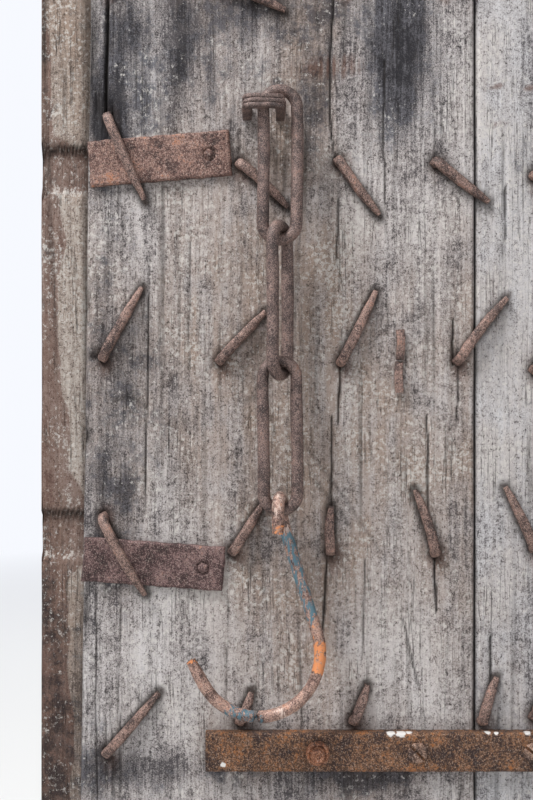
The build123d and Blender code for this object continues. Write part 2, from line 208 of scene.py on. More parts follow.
def slab(name, cross, low, high, rows, front, back, upright=True):
    """A closed board. cross are the places over its grain, low and high its ends at each, and rows the
    fractions between them. front gives the out of its face and its marks. back does too, or is the out
    of a flat face."""
    v = low(cross)[:, None] + rows[None, :] * (high(cross) - low(cross))[:, None]
    u = cross[:, None] + 0 * v

    def spots(out):
        return (place(u, v, out) if upright else place(v, u, out)).reshape(-1, 3)

    count = u.size
    quads, ring = sheet(u.shape)
    top, found = front(u, v)
    if callable(back):
        bottom, found_back = back(u, v)
        points = np.concatenate([spots(top), spots(bottom)])
        following = np.roll(ring, -1)
        sides = np.stack([ring, following, following + count, ring + count], -1)
        faces = quads.tolist() + (quads[:, ::-1] + count).tolist() + sides.tolist()
        values = {m: np.concatenate([found[m].ravel(), found_back[m].ravel()]) for m in board_marks}
    else:
        points = np.concatenate([spots(top), spots(np.full(u.shape, back))[ring]])
        faces = over_flat_back(quads, ring, count)
        values = {m: np.concatenate([found[m].ravel(), found[m].ravel()[ring]]) for m in board_marks}
    return new_piece(name, points, faces, values)


def dense_rows(low, high, fine=None, coarse=11.0, seen_heights=(350.0, 960.0), breaks=()):
    """Row fractions between two heights, fine apart where the photograph looks, and doubled at breaks."""
    edges = [low]
    while edges[-1] < high:
        close = fine and seen_heights[0] <= edges[-1] <= seen_heights[1]
        edges.append(edges[-1] + (fine if close else coarse))
    edges[-1] = high
    for height in breaks:
        edges = [e for e in edges if abs(e - height) > 2.5] + [height + step for step in (-1.8, -0.3, 0.3, 1.8)]
    return (np.array(sorted(edges)) - low) / (high - low)


# Nails: where each goes in, the turn and length of its leg, and how far what lies under lifts it

seen_nails = {
    3: [(50, -155, 49, 53), (138, -134, 68, 21), (213, -134, 69, 26), (298, -134, 72, 31)],
    4: [
        (48, 1, -61, 58, 3.9),
        (133.5, -22, 58, 38),
        (198, -22, 89, 30),
        (267, -23, 108, 44),
        (332, -20, 115, 45),
    ],
    5: [(48, 106, 61, 53), (125, 104, 47, 44), (205, 103, 64, 52), (282, 104, 52, 52)],
    6: [(51, 265, -66, 61, 3.9), (138, 234, -42, 43), (203, 236, -53, 45), (267, 235, -37, 44)],
    7: [(50, 352, 61, 48), (127, 353, -24, 45), (205, 352, 61, 48), (271, 352, 61, 48)],
}
first_columns = (50.0, 132.0, 205.0, 271.0)
plank_edges = [lip_width, 294.2, 527.4, 772.6, 1000.2]
plank_gap = 1.2
first_plank_right = 293.0
shank_width = 6.2
strap_row_gap = 4.5
strap_height = 25.5
strap_thickness = 8.0
strap_heights = {"lower": datum - 151.8, "upper": datum + 3 * board_height + 163.5}
strap_start = 116.0


def all_nails():
    """Every nail of the leaf, row by row."""
    columns = []
    for number in range(1, 4):
        left, right = plank_edges[number], plank_edges[number + 1] - plank_gap
        inset = (38.0, 60.0, 60.0)[number - 1]
        columns += [left + inset, right - inset]
    found = []
    for row in range(1, 16):
        upper = row % 2 == 0
        height = foot + (row - 1) // 2 * board_height + (227.0 if upper else 100.0)
        lean, length = (-47.0, 45.0) if upper else (61.0, 48.0)
        given = [(n[0], datum + n[1], *n[2:]) for n in seen_nails.get(row, [])]
        if row == 3:
            height = strap_heights["lower"] + (strap_height + shank_width) / 2 + strap_row_gap
            lean, length = 70.0, 36.0
        taken = max([n[0] for n in given], default=0)
        for number, inset in enumerate(columns if row in seen_nails else [*first_columns, *columns]):
            wave = math.sin(2.3 * number + row)
            if height <= spring:
                clear = inner_radius - abs(inset - leaf_radius) > 11
            else:
                clear = math.hypot(inset - leaf_radius, height - spring) < inner_radius - 22
            if clear and inset > taken + shank_width:
                given.append((inset, height + 2.3 * wave, lean + 7 * wave, length + 3.5 * wave))
        found += given
    return found


nails = all_nails()

# Relief of the boards

# Stands for the height of a rounded head, whose edge isn't worn
no_end = 1e4

# Each crack's course on the photograph, its half width and its depth
crack_courses = (
    ((334, -6), (330, 60), (330, 130), (337, 172), 0.6, 2.2),
    ((149, 258), (147, 380), (144, 520), 0.4, 1.8),
    ((107, -6), (106, 60), (104, 112), 1.5, 5.0),
    ((340, 358), (338, 425), 0.9, 2.2),
    ((452, 318), (453, 366), 0.9, 2.2),
    ((457, 362), (457, 428), 0.4, 1.4),
    ((427, 415), (428, 534), 0.7, 2.0),
    ((434, 552), (436, 612), 0.9, 2.4),
    ((331, 415), (331, 508), 0.8, 2.2),
    ((327, 552), (324, 600), (322, 642), 0.9, 2.4),
    ((338, 196), (336, 262), 0.7, 1.6),
    ((112, 402), (128, 396), (146, 408), 2.2, 0.7),
    ((243, 402), (255, 397), (267, 402), 2.0, 0.5),
    ((313, 480), (335, 505), (352, 530), 1.7, 0.5),
    ((300, 440), (330, 478), (345, 500), (380, 552), 1.5, 0.45),
    ((403, 620), (410, 655), (420, 690), 0.6, 1.2),
    ((120, 610), (118, 700), (120, 806), 0.35, 0.9),
    ((190, 240), (188, 330), (191, 400), 0.3, 0.8),
    ((228, 600), (226, 700), 0.3, 0.7),
    ((385, 60), (383, 130), (386, 210), 0.6, 1.4),
    ((96, 590), (95, 690), (97, 810), 0.45, 1.2),
    ((365, 560), (362, 660), 0.5, 1.2),
    ((490, 636), (491, 684), 0.9, 2.2),
    ((505, 190), (503, 260), 0.6, 1.4),
)
cracks = [([seen(*spot) for spot in course], width, depth) for *course, width, depth in crack_courses]
chips = seen_spots(
    ((95, 356), (5, 3), 3.5),
    ((86, 437), (4, 8), 4.0),
    ((108, 116), (3.5, 5), 5.0),
    ((92, 40), (4, 26), 2.6),
    ((97, 100), (4, 14), 3.2),
    ((86, 300), (3, 14), 2.2),
    ((85, 610), (3, 22), 2.4),
)


def board_relief(u, v, ends, seed, level, sign=1.0, edge_wear=2.6, lines=(), hollows=(), roots=(), coarse=1.0):
    """The out of a weathered board's face, and its marks: painted hollow shade, tone, warm and stain."""
    u0, u1, v0, v1 = ends
    wander = 7 * lattice_noise(v / 310, u / 90, seed)
    across = u + wander
    ridges = rough_noise(across / 2.6, v / 170, seed + 1)
    fine = rough_noise(across / 1.3, v / 70, seed + 2, 2)
    broad = rough_noise(across / 42, v / 420, seed + 3, 2)
    groove = np.clip(rough_noise(across / 5.5, v / 200, seed + 4, 3) - 0.42, 0, 1)
    relief = coarse * (0.3 * ridges + 0.16 * fine) + 0.7 * broad - 1.9 * groove - 0.7
    # Painted shade in the grain's grooves
    hollow = np.clip(1.7 * groove - 0.08 * ridges, 0, 1)
    wear = edge_wear * (0.7 + 0.5 * rough_noise(v / 38, u / 38, seed + 6, 2))
    edge = np.minimum(np.minimum(u - u0, u1 - u), np.minimum(v - v0, v1 - v))
    near = np.clip(1 - edge / np.maximum(wear, 0.3), 0, 1)
    relief = relief - wear * (1 - np.sqrt(1 - np.minimum(near, 0.999) ** 2))
    # Painted shade along the worn edges, where boards meet
    hollow = np.maximum(hollow, 0.55 * near)
    for path, width, depth in lines:
        gap, along = path_distance(u + 0.5 * lattice_noise(v / 9, u / 9, seed + 8), v, path)
        reach = width * (0.45 + 0.55 * np.sqrt(np.clip(4 * along * (1 - along), 0, 1)))
        cut = np.clip(1 - gap / (reach + 0.35), 0, 1)
        relief = relief - depth * cut
        # Painted shade down in each crack
        hollow = np.maximum(hollow, np.clip(1.6 * cut, 0, 1) * min(1.0, 0.25 + depth / 2))
    for centre, size, depth in hollows:
        dent = spot_falloff(u, v, centre, size)
        relief = relief - depth * dent * (1 + 0.5 * fine)
        # Painted shade in each chip
        hollow = np.maximum(hollow, 0.75 * dent)
    stain = 0 * u
    for inset, height, turn, length, *_ in roots:
        close = (np.abs(u - inset) < 40) & (np.abs(v - height) < 60)
        if not close.any():
            continue
        dent = spot_falloff(u, v, (inset, height), (5.0, 6.0))
        relief = relief - 1.9 * dent
        # Painted shade in the nail's hole
        hollow = np.maximum(hollow, np.clip(1.25 * dent, 0, 1))
        # Rust stain round the hole, set low and to the right: partly a painted shadow of the nail
        stain = np.maximum(stain, 0.6 * spot_falloff(u, v, (inset + 2, height - 3), (9, 15)))
        tip = (inset + length * math.cos(math.radians(turn)), height + length * math.sin(math.radians(turn)))
        gap, _ = path_distance(u, v, [(inset, height), tip])
        # Rust stain along the leg, which also paints its contact shadow, and painted shade close beside the leg
        stain = np.maximum(stain, 0.6 * np.clip(1 - gap / 7, 0, 1))
        hollow = np.maximum(hollow, 0.85 * np.clip(1.85 - gap / 3.2, 0, 1))
        # Painted shade in the split that the nail opened
        split, _ = path_distance(u, v, [(inset, height - 22), (inset, height + 22)])
        cut = np.clip(1 - split / 0.9, 0, 1)
        relief = relief - 0.8 * cut
        hollow = np.maximum(hollow, 0.55 * cut)
    tone = 0.6 * rough_noise(across / 30, v / 210, seed + 9, 3)
    tone = tone + 0.4 * rough_noise(u / 75, v / 95, seed + 10, 3)
    warm = np.clip(0.35 + 0.9 * rough_noise(u / 60, v / 160, seed + 12, 3), 0, 1)
    out = level + sign * np.minimum(relief, -0.02)
    return out, {"hollow": np.clip(hollow, 0, 1), "tone": tone, "warm": warm, "stain": np.clip(stain, 0, 1)}


def arc_top(radius):
    """The head of an upright board at each inset."""
    return lambda u: spring + np.sqrt(np.maximum(radius**2 - (u - leaf_radius) ** 2, 0))


def flat_end(height):
    """A level or upright end that stays at one place."""
    return lambda u: np.full(u.shape, float(height))


# The first plank's left edge: heights, and how far it stands from its plain place there
plank_wander = ((datum - 186.0, -4.0), (datum + 342.0, 2.0))
dark_zones = seen_spots(
    ((160, 55), (50, 50), 0.9),
    ((400, 30), (17, 60), 0.75),
    ((105, 120), (14, 40), 0.6),
    ((135, 420), (30, 60), 0.3),
    ((110, 520), (18, 60), 0.4),
    ((375, 290), (10, 60), 0.35),
    ((300, 15), (40, 20), 0.2),
    ((120, 330), (20, 110), 0.28),
    ((318, 90), (14, 30), 0.3),
    ((300, 770), (180, 14), 0.5),
)
warm_zones = seen_spots(
    ((262, 350), (48, 100), 0.8),
    ((200, 300), (50, 60), 0.45),
    ((300, 560), (60, 60), 0.35),
    ((250, 150), (30, 40), 0.4),
    ((300, 300), (22, 150), 0.3),
)
pale_zones = seen_spots(
    ((220, 60), (10, 30), 0.5),
    ((330, 230), (40, 60), 0.3),
    ((180, 640), (60, 50), 0.1),
    ((430, 200), (25, 90), 0.3),
    ((255, 400), (42, 90), 0.6),
    ((395, 400), (60, 120), 0.75),
    ((360, 640), (80, 60), 0.3),
    ((190, 240), (36, 50), 0.6),
)


def plank_lean(height):
    """How far the first plank's left edge stands from its plain place."""
    return np.interp(height, [p[0] for p in plank_wander], [p[1] for p in plank_wander])


def lean_share(inset):
    """How much of that lean each column takes: all at the left edge, and none 80 mm further in."""
    return np.clip(1 - (inset - lip_width) / 80.0, 0, 1)


def first_plank_face(u, v):
    """The inner face of the first plank, which the photograph shows."""
    left = lip_width + plank_lean(v)
    u_real = u + (left - lip_width) * lean_share(u)
    ends = (left, first_plank_right, foot, no_end)
    out, marks = board_relief(u_real, v, ends, 11, 0.0, lines=cracks, hollows=chips, roots=nails, coarse=1.25)
    fracture = np.clip(1 - (u_real - left) / 13, 0, 1) * np.clip((v - seen(0, 150)[1]) / 25, 0, 1)
    shreds = rough_noise(u_real / 1.4, v / 34, 77, 3)
    out = out - fracture * (1.4 + 1.7 * shreds)
    # Painted shade among the torn fibres of the broken edge
    marks["hollow"] = np.maximum(marks["hollow"], fracture * np.clip(0.3 - shreds, 0, 1))
    patches = 0.55 + 1.1 * np.clip(rough_noise(u_real / 22, v / 48, 91, 4) + 0.35, 0, 1)
    for centre, size, amount in dark_zones:
        marks["tone"] = marks["tone"] - 1.7 * amount * patches * spot_falloff(u_real, v, centre, size)
    for centre, size, amount in warm_zones:
        marks["warm"] = marks["warm"] + amount * spot_falloff(u_real, v, centre, size)
    for centre, size, amount in pale_zones:
        marks["tone"] = marks["tone"] + amount * spot_falloff(u_real, v, centre, size)
    rust = 0.9 * spot_falloff(u_real, v, seen(318, 70), (26, 9))
    rust = rust + 0.5 * spot_falloff(u_real, v, seen(345, 60), (16, 9))
    marks["stain"] = np.clip(np.maximum(marks["stain"], rust * (0.6 + 0.6 * shreds)), 0, 1)
    marks["warm"] = np.clip(marks["warm"], 0, 1)
    return out, marks


def build_first_plank():
    """The first plank: its left edge leans a little, so its columns lean with it."""
    worn_edge = 58.0
    worn, rest = np.arange(lip_width, worn_edge, 0.75), np.arange(worn_edge, first_plank_right - 0.6, 1.1)
    cross = np.concatenate([worn, rest, [first_plank_right]])
    rows = dense_rows(foot, spring + 380, fine=2.4, coarse=13.0, seen_heights=(372.0, 930.0))
    ends = flat_end(foot), arc_top(inner_radius)
    piece = slab("inner_plank_1_dressed", cross, *ends, rows, first_plank_face, -inner_layer)
    mesh = piece.data
    spots = np.empty(len(mesh.vertices) * 3)
    mesh.vertices.foreach_get("co", spots)
    spots = spots.reshape(-1, 3)
    inset, height = (spots[:, 1] - edge_y) / MM, spots[:, 2] / MM
    spots[:, 1] += plank_lean(height) * lean_share(inset) * MM
    mesh.vertices.foreach_set("co", spots.ravel())
    mesh.update()
    return piece


def build_plank(number):
    """A further plank of the inner layer."""
    left, right = plank_edges[number - 1], plank_edges[number] - plank_gap
    seed = 100 * number
    zones = seen_spots(((515, 87), (24, 1.6), 0.9), ((500, 125), (12, 5), 0.5)) if number == 2 else []

    def face(u, v):
        near = [n for n in nails if left - 40 < n[0] < right + 40]
        lines = cracks if number == 2 else []
        out, marks = board_relief(u, v, (left, right, foot, no_end), seed, 0.0, lines=lines, roots=near)
        marks["tone"] = marks["tone"] + 0.35
        marks["warm"] = marks["warm"] * 0.5
        for centre, size, amount in zones:
            marks["stain"] = np.maximum(marks["stain"], amount * spot_falloff(u, v, centre, size))
        return out, marks

    step = 1.6 if number == 2 else 2.6
    cross = np.append(np.arange(left, right - 0.5, step), right)
    rows = dense_rows(foot, spring + 440, fine=5.0 if number == 2 else None)
    ends = flat_end(foot), arc_top(inner_radius)
    return slab(f"inner_plank_{number}_dressed", cross, *ends, rows, face, -inner_layer)


notch_joints = (datum, datum + board_height)
# The rusty margin of the lip: heights, and its width there
margin_heights = [380, 520, 536, 569, 600, 790, 815, 830, 915]
margin_widths = [23, 21, 34, 34, 17, 15, 34, 11, 7]


def notch_marks(u, v):
    """How far the free stile's lip is cut back by its two notches, with rough floors."""
    cut = 0 * u
    for joint in notch_joints:
        inside = (v > joint - notch_height) & (v < joint) & (u < lip_width + 2)
        depth = notch_depth - 0.6 + 0.8 * rough_noise(u / 4, v / 7, 31, 3)
        cut = np.where(inside, np.maximum(depth, 1.0), cut)
    return cut


def build_stile(name, left, right, seed, lip_left):
    """An upright board of the outer layer, worn on both faces."""
    ends = (left, right, foot, no_end)

    def inner_face(u, v):
        out, marks = board_relief(u, v, ends, seed, -inner_layer, edge_wear=2.2, coarse=1.1)
        if lip_left:
            cut = notch_marks(u, v)
            out = out - cut
            waves = 6 * rough_noise(v / 42, u / 300, 41, 3)
            width = np.interp(v, margin_heights, margin_widths)
            margin = np.clip((width + waves - u) / 3.0, 0, 1)
            marks["stain"] = np.maximum(0.25 * marks["stain"], 1.25 * margin)
            marks["tone"] = marks["tone"] - 0.15 * margin
            marks["stain"] = np.maximum(marks["stain"], np.where(cut > 0, 0.75, 0))
            marks["warm"] = np.clip(marks["warm"] + 0.25, 0, 1)
            for low in notch_joints:
                # Painted shadow under the top of each notch, and a painted highlight on its lit lower ledge
                line = np.clip(1.6 - np.abs(v - low) / 1.8, 0, 1)
                marks["hollow"] = np.maximum(marks["hollow"], line)
                painted_ledge_light = np.clip(1.6 - np.abs(v - low + notch_height - 1.2) / 1.6, 0, 1)
                marks["tone"] = marks["tone"] + 1.6 * painted_ledge_light
            # Painted shadow on the lip next to the plank's edge
            plank_edge_shadow = np.clip((u - 26.5) / 5.0, 0, 1)
            marks["hollow"] = np.maximum(marks["hollow"], 0.75 * plank_edge_shadow)
        return out, marks

    def outer_face(u, v):
        return board_relief(u, v, ends, seed + 50, -leaf_thickness, sign=-1.0, edge_wear=2.8)

    if lip_left:
        worn, rest = np.arange(left, left + 40, 1.25), np.arange(left + 40, right - 1, 3.5)
        cross = np.concatenate([worn, rest, [right]])
    else:
        cross = np.append(np.arange(left, right - 1, 3.4), right)
    breaks = [joint - cut for joint in notch_joints for cut in (0, notch_height)] if lip_left else ()
    rows = dense_rows(foot, spring + 319, fine=4.0 if lip_left else None, coarse=12.0, breaks=breaks)
    return slab(name, cross, flat_end(foot), arc_top(leaf_radius), rows, inner_face, outer_face)


def build_board(number):
    """A level board of the outer layer."""
    low = foot + (number - 1) * board_height
    high = min(low + board_height, spring + leaf_radius - 0.4)
    seed = 500 + 20 * number

    def half_width(height):
        arc = np.sqrt(np.maximum(leaf_radius**2 - (height - spring) ** 2, 9.0))
        return np.where(height > spring, np.minimum(arc, leaf_radius - stile_width), leaf_radius - stile_width)

    def left_end(height):
        return leaf_radius - half_width(height)

    def right_end(height):
        return leaf_radius + half_width(height)

    def outer_face(u, v):
        ends = (low, high, left_end(u), right_end(u))
        return board_relief(u, v, ends, seed, -leaf_thickness, sign=-1.0, edge_wear=2.4)

    def inner_face(u, v):
        return board_relief(u, v, (low, high, left_end(u), right_end(u)), seed + 10, -inner_layer, edge_wear=1.2)

    cross = np.append(np.arange(low, high - 1, 2.6), high)
    back = inner_face if number >= 7 else -inner_layer
    name = f"outer_board_{number}_dressed"
    return slab(name, cross, left_end, right_end, np.linspace(0, 1, 75), outer_face, back, upright=False)


# Node trees: small helpers

def node(tree, kind, wires=None, **settings):
    """A node with its settings, and each input wired or set."""
    made = tree.nodes.new(kind)
    for key, value in settings.items():
        setattr(made, key, value)
    for socket, value in (wires or {}).items():
        if isinstance(value, bpy.types.NodeSocket):
            tree.links.new(value, made.inputs[socket])
        else:
            made.inputs[socket].default_value = value
    return made


def calc(tree, operation, a, b=0.0):
    """One step of arithmetic."""
    return node(tree, "ShaderNodeMath", {0: a, 1: b}, operation=operation).outputs[0]


def vector_calc(tree, operation, a, b, socket=1):
    """One step of arithmetic on vectors."""
    return node(tree, "ShaderNodeVectorMath", {0: a, socket: b}, operation=operation).outputs[0]


def total_of(tree, *shares):
    """Values added up, each by its share."""
    whole = None
    for value, share in shares:
        part = calc(tree, "MULTIPLY", value, share)
        whole = part if whole is None else calc(tree, "ADD", whole, part)
    return whole


def span(tree, value, low, high, to_low=0.0, to_high=1.0):
    """A value between low and high stretched to another range."""
    wires = {"Value": value, "From Min": low, "From Max": high, "To Min": to_low, "To Max": to_high}
    return node(tree, "ShaderNodeMapRange", wires, clamp=True).outputs[0]


def blend(tree, factor, a, b, way="MIX"):
    """Two colours mixed."""
    wires = {0: factor, 6: a, 7: b}
    return node(tree, "ShaderNodeMix", wires, data_type="RGBA", blend_type=way, clamp_factor=True).outputs[2]


def noise(tree, vector, scale, detail=4.0, roughness=0.55, stretch=None, distortion=0.0):
    """Noise over a vector, stretched if asked."""
    if stretch:
        vector = vector_calc(tree, "MULTIPLY", vector, stretch)
    wires = {"Vector": vector, "Scale": scale, "Detail": detail}
    wires |= {"Roughness": roughness, "Distortion": distortion}
    return node(tree, "ShaderNodeTexNoise", wires).outputs["Fac"]


def colour(red, green, blue):
    """A colour written as it looks, from 0 to 255, for a shader."""
    steps = (red, green, blue)
    return tuple(((c / 255 + 0.055) / 1.055) ** 2.4 if c > 10 else c / 255 / 12.92 for c in steps) + (1.0,)


# What both finishes give
finish_outputs = [("Color", "NodeSocketColor"), ("Height", "NodeSocketFloat"), ("Roughness", "NodeSocketFloat")]


def new_group(name, inputs):
    """A shader group with named inputs, for a finish."""
    group = bpy.data.node_groups.new(name, "ShaderNodeTree")
    for socket, kind, value in inputs:
        made = group.interface.new_socket(socket, in_out="INPUT", socket_type=kind)
        if value is not None:
            made.default_value = value
    for socket, kind in finish_outputs:
        group.interface.new_socket(socket, in_out="OUTPUT", socket_type=kind)
    return group, group.nodes.new("NodeGroupInput").outputs, group.nodes.new("NodeGroupOutput")


def grain_group():
    """Weathered wood: fibres, streaks, checks, dirt and rust stains, and painted shade in hollows. The grain
    runs along the vector's z.
    """
    inputs = [
        ("Vector", "NodeSocketVector", None),
        ("Light", "NodeSocketColor", colour(190, 182, 172)),
        ("Middle", "NodeSocketColor", colour(152, 141, 132)),
        ("Dark", "NodeSocketColor", colour(78, 72, 68)),
        ("Warm tint", "NodeSocketColor", colour(172, 150, 134)),
        ("Stain tint", "NodeSocketColor", colour(104, 70, 56)),
        ("Hollow", "NodeSocketFloat", 0.0),
        ("Tone", "NodeSocketFloat", 0.0),
        ("Warm", "NodeSocketFloat", 0.0),
        ("Stain", "NodeSocketFloat", 0.0),
    ]
    tree, given, result = new_group("weathered_grain", inputs)
    vector = given["Vector"]
    bent = noise(tree, vector, 1.0, 3.0, stretch=(9, 9, 2.2))
    aside = calc(tree, "MULTIPLY", bent, 0.012)
    push = node(tree, "ShaderNodeCombineXYZ", {0: aside, 1: aside}).outputs[0]
    vector_bent = vector_calc(tree, "ADD", vector, push)
    fibre = noise(tree, vector_bent, 1.0, 7.0, 0.65, stretch=(620, 620, 30))
    streak = noise(tree, vector_bent, 1.0, 4.0, 0.6, stretch=(150, 150, 10))
    bands = noise(tree, vector_bent, 1.0, 3.0, 0.5, stretch=(38, 38, 2.2))
    blotch = noise(tree, vector, 24.0, 6.0, 0.62)
    mottle = noise(tree, vector, 95.0, 8.0, 0.7)
    speck = noise(tree, vector, 430.0, 5.0, 0.75)
    grit = noise(tree, vector, 1150.0, 3.0, 0.7)
    flake = noise(tree, vector, 300.0, 9.0, 0.8)
    check = noise(tree, vector_bent, 1.0, 5.0, 0.55, stretch=(210, 210, 5))
    coarse = (fibre, 0.34), (streak, 0.22), (bands, 0.2), (blotch, 0.34)
    value = total_of(tree, *coarse, (mottle, 0.36), (speck, 0.46), (grit, 0.5), (given["Tone"], 0.07))
    shade = span(tree, value, 1.09, 1.33)
    low = blend(tree, span(tree, shade, 0.0, 0.5), given["Dark"], given["Middle"])
    base = blend(tree, span(tree, shade, 0.45, 1.0), low, given["Light"])
    uneven = span(tree, total_of(tree, (blotch, 0.6), (streak, 0.4)), 0.4, 0.58, 0.2, 1.0)
    warm = calc(tree, "MULTIPLY", given["Warm"], uneven)
    base = blend(tree, warm, base, blend(tree, 0.8, base, given["Warm tint"], "MULTIPLY"))
    base = blend(tree, calc(tree, "MULTIPLY", warm, 0.4), base, given["Warm tint"])
    ragged = span(tree, total_of(tree, (given["Stain"], 1.0), (mottle, 0.9), (fibre, 0.5)), 0.98, 1.3)
    stained = blend(tree, 0.25, given["Stain tint"], base)
    base = blend(tree, calc(tree, "MULTIPLY", ragged, 0.85), base, stained)
    worn = total_of(tree, (mottle, 0.55), (blotch, 0.35), (speck, 0.3), (given["Tone"], -0.2))
    patina = span(tree, worn, 0.63, 0.74, 0.0, 0.95)
    base = blend(tree, patina, base, blend(tree, 1.0, base, colour(126, 129, 138), "MULTIPLY"))
    pale = total_of(tree, (flake, 0.75), (speck, 0.3), (blotch, 0.3), (given["Tone"], 0.04))
    base = blend(tree, span(tree, pale, 0.725, 0.765, 0.0, 0.75), base, colour(212, 207, 201))
    lines = span(tree, calc(tree, "ABSOLUTE", calc(tree, "SUBTRACT", check, 0.5)), 0.0, 0.011, 0.75, 0.0)
    lines = calc(tree, "MULTIPLY", lines, span(tree, blotch, 0.44, 0.58))
    base = blend(tree, lines, base, colour(42, 37, 34))
    pits = span(tree, total_of(tree, (speck, 0.5), (grit, 0.5)), 0.43, 0.38, 0.0, 0.75)
    base = blend(tree, pits, base, colour(52, 46, 43))
    # Painted shade: the hollow mark darkens the wood almost to black
    hollow = calc(tree, "MULTIPLY", given["Hollow"], 0.9)
    base = blend(tree, hollow, base, colour(30, 25, 22))
    tree.links.new(base, result.inputs["Color"])
    shares = ((fibre, 0.6), (streak, 0.25), (speck, 0.5), (grit, 0.35), (lines, -0.8), (pits, -0.5))
    height = total_of(tree, *shares)
    tree.links.new(height, result.inputs["Height"])
    tree.links.new(span(tree, shade, 0.0, 1.0, 0.82, 0.94), result.inputs["Roughness"])
    return tree


def rust_group():
    """Rusty wrought iron: brown scale, purple and orange patches, pits and pale dust."""
    inputs = [
        ("Vector", "NodeSocketVector", None),
        ("Scale tint", "NodeSocketColor", colour(96, 68, 58)),
        ("Pale tint", "NodeSocketColor", colour(146, 118, 106)),
        ("Orange tint", "NodeSocketColor", colour(164, 98, 56)),
        ("Orange amount", "NodeSocketFloat", 0.4),
        ("Coarseness", "NodeSocketFloat", 1.0),
    ]
    tree, given, result = new_group("rust", inputs)
    sized = vector_calc(tree, "SCALE", given["Vector"], given["Coarseness"], "Scale")
    patch = noise(tree, sized, 70.0, 6.0, 0.6)
    scale = noise(tree, sized, 480.0, 8.0, 0.75, distortion=0.5)
    dust = noise(tree, sized, 1300.0, 3.0, 0.7)
    pitting = node(tree, "ShaderNodeTexVoronoi", {"Vector": sized, "Scale": 560.0, "Randomness": 1.0})
    pit = span(tree, pitting.outputs["Distance"], 0.1, 0.34)
    shade = span(tree, total_of(tree, (scale, 0.5), (dust, 0.5), (patch, 0.3)), 0.61, 0.72)
    base = blend(tree, shade, given["Scale tint"], given["Pale tint"])
    dark = total_of(tree, (patch, 0.6), (scale, 0.5))
    base = blend(tree, span(tree, dark, 0.53, 0.44, 0.0, 0.8), base, colour(50, 38, 37))
    fire = span(tree, total_of(tree, (patch, 0.5), (scale, 0.7), (given["Orange amount"], 0.12)), 0.68, 0.78)
    base = blend(tree, calc(tree, "MULTIPLY", fire, 0.8), base, given["Orange tint"])
    base = blend(tree, span(tree, dust, 0.57, 0.64, 0.0, 0.6), base, colour(184, 168, 158))
    base = blend(tree, calc(tree, "MULTIPLY", calc(tree, "SUBTRACT", 1.0, pit), 0.8), base, colour(36, 27, 25))
    tree.links.new(base, result.inputs["Color"])
    height = total_of(tree, (scale, 0.8), (pit, 0.35), (dust, 0.3))
    tree.links.new(height, result.inputs["Height"])
    tree.links.new(span(tree, scale, 0.3, 0.7, 0.46, 0.74), result.inputs["Roughness"])
    return tree


grain = grain_group()
rust = rust_group()


def new_material(name):
    """An empty finish and its tree."""
    material = bpy.data.materials.new(name)
    material.use_nodes = True
    return material, material.node_tree


def object_place(tree):
    """The place on the piece, in metres."""
    return node(tree, "ShaderNodeTexCoord").outputs["Object"]


def by_socket(values):
    """Values by their sockets' names. Colours are written from 0 to 255."""
    return {
        key.replace("_", " ").capitalize(): colour(*value) if isinstance(value, tuple) else value
        for key, value in values.items()
    }


def mark(tree, name):
    """A mark stored on the piece's points."""
    return node(tree, "ShaderNodeAttribute", attribute_name=name).outputs["Fac"]


def finish_material(material, tree, group_node, bump, metallic=0.0, sheen=0.25):
    """The shader of a finish, fed by its group."""
    shader = tree.nodes["Principled BSDF"]
    tree.links.new(group_node.outputs["Color"], shader.inputs["Base Color"])
    tree.links.new(group_node.outputs["Roughness"], shader.inputs["Roughness"])
    shader.inputs["Metallic"].default_value = metallic
    shader.inputs["Specular IOR Level"].default_value = sheen
    wires = {"Height": group_node.outputs["Height"], "Strength": 0.8, "Distance": bump}
    raised = node(tree, "ShaderNodeBump", wires)
    tree.links.new(raised.outputs["Normal"], shader.inputs["Normal"])
    return material


def wood(name, turn=(0, 0, 0), marked=True, **tints):
    """A wood finish whose grain runs along z, turned for boards that lie another way."""
    material, tree = new_material(name)
    along_grain = node(tree, "ShaderNodeMapping", {"Vector": object_place(tree), "Rotation": turn}).outputs[0]
    wires = {"Vector": along_grain} | by_socket(tints)
    if marked:
        wires |= {key.capitalize(): mark(tree, key) for key in board_marks}
    return finish_material(material, tree, node(tree, "ShaderNodeGroup", wires, node_tree=grain), 0.0006)


def iron(name, bump, sheen=0.3, **tints):
    """A rusty iron finish."""
    material, tree = new_material(name)
    wires = {"Vector": object_place(tree)} | by_socket(tints)
    made = node(tree, "ShaderNodeGroup", wires, node_tree=rust)
    return finish_material(material, tree, made, bump, metallic=0.3, sheen=sheen)


plank_wood = wood("weathered_plank", light=(214, 209, 208), middle=(172, 165, 163), dark=(82, 78, 80))
pale_wood = wood("pale_plank", light=(216, 215, 217), middle=(180, 177, 178), dark=(98, 95, 98))
lip_wood = wood(
    "lip_wood", light=(206, 198, 190), middle=(170, 157, 148), dark=(94, 84, 79),
    stain_tint=(108, 77, 67),
)
level_wood = wood("level_board", turn=(math.pi / 2, 0, 0), middle=(164, 150, 140), dark=(86, 77, 71))
frame_tints = {"light": (200, 189, 177), "middle": (160, 144, 131), "dark": (84, 73, 66)}
frame_wood = wood("frame_oak", marked=False, **frame_tints)
sill_wood = wood("sill_oak", turn=(0, math.pi / 2, 0), marked=False, **frame_tints)
strap_iron = iron(
    "pitted_strap_iron", 0.0009, scale_tint=(68, 50, 43), pale_tint=(150, 112, 84),
    orange_tint=(172, 104, 50), orange_amount=0.3,
)
edge_iron = iron(
    "purple_strap_iron", 0.0007, scale_tint=(78, 58, 58), pale_tint=(142, 116, 112),
    orange_tint=(186, 134, 100), orange_amount=-0.2,
)
orange_edge_iron = iron(
    "orange_strap_iron", 0.0007, scale_tint=(94, 68, 62), pale_tint=(164, 134, 122),
    orange_tint=(178, 112, 72), orange_amount=0.15,
)
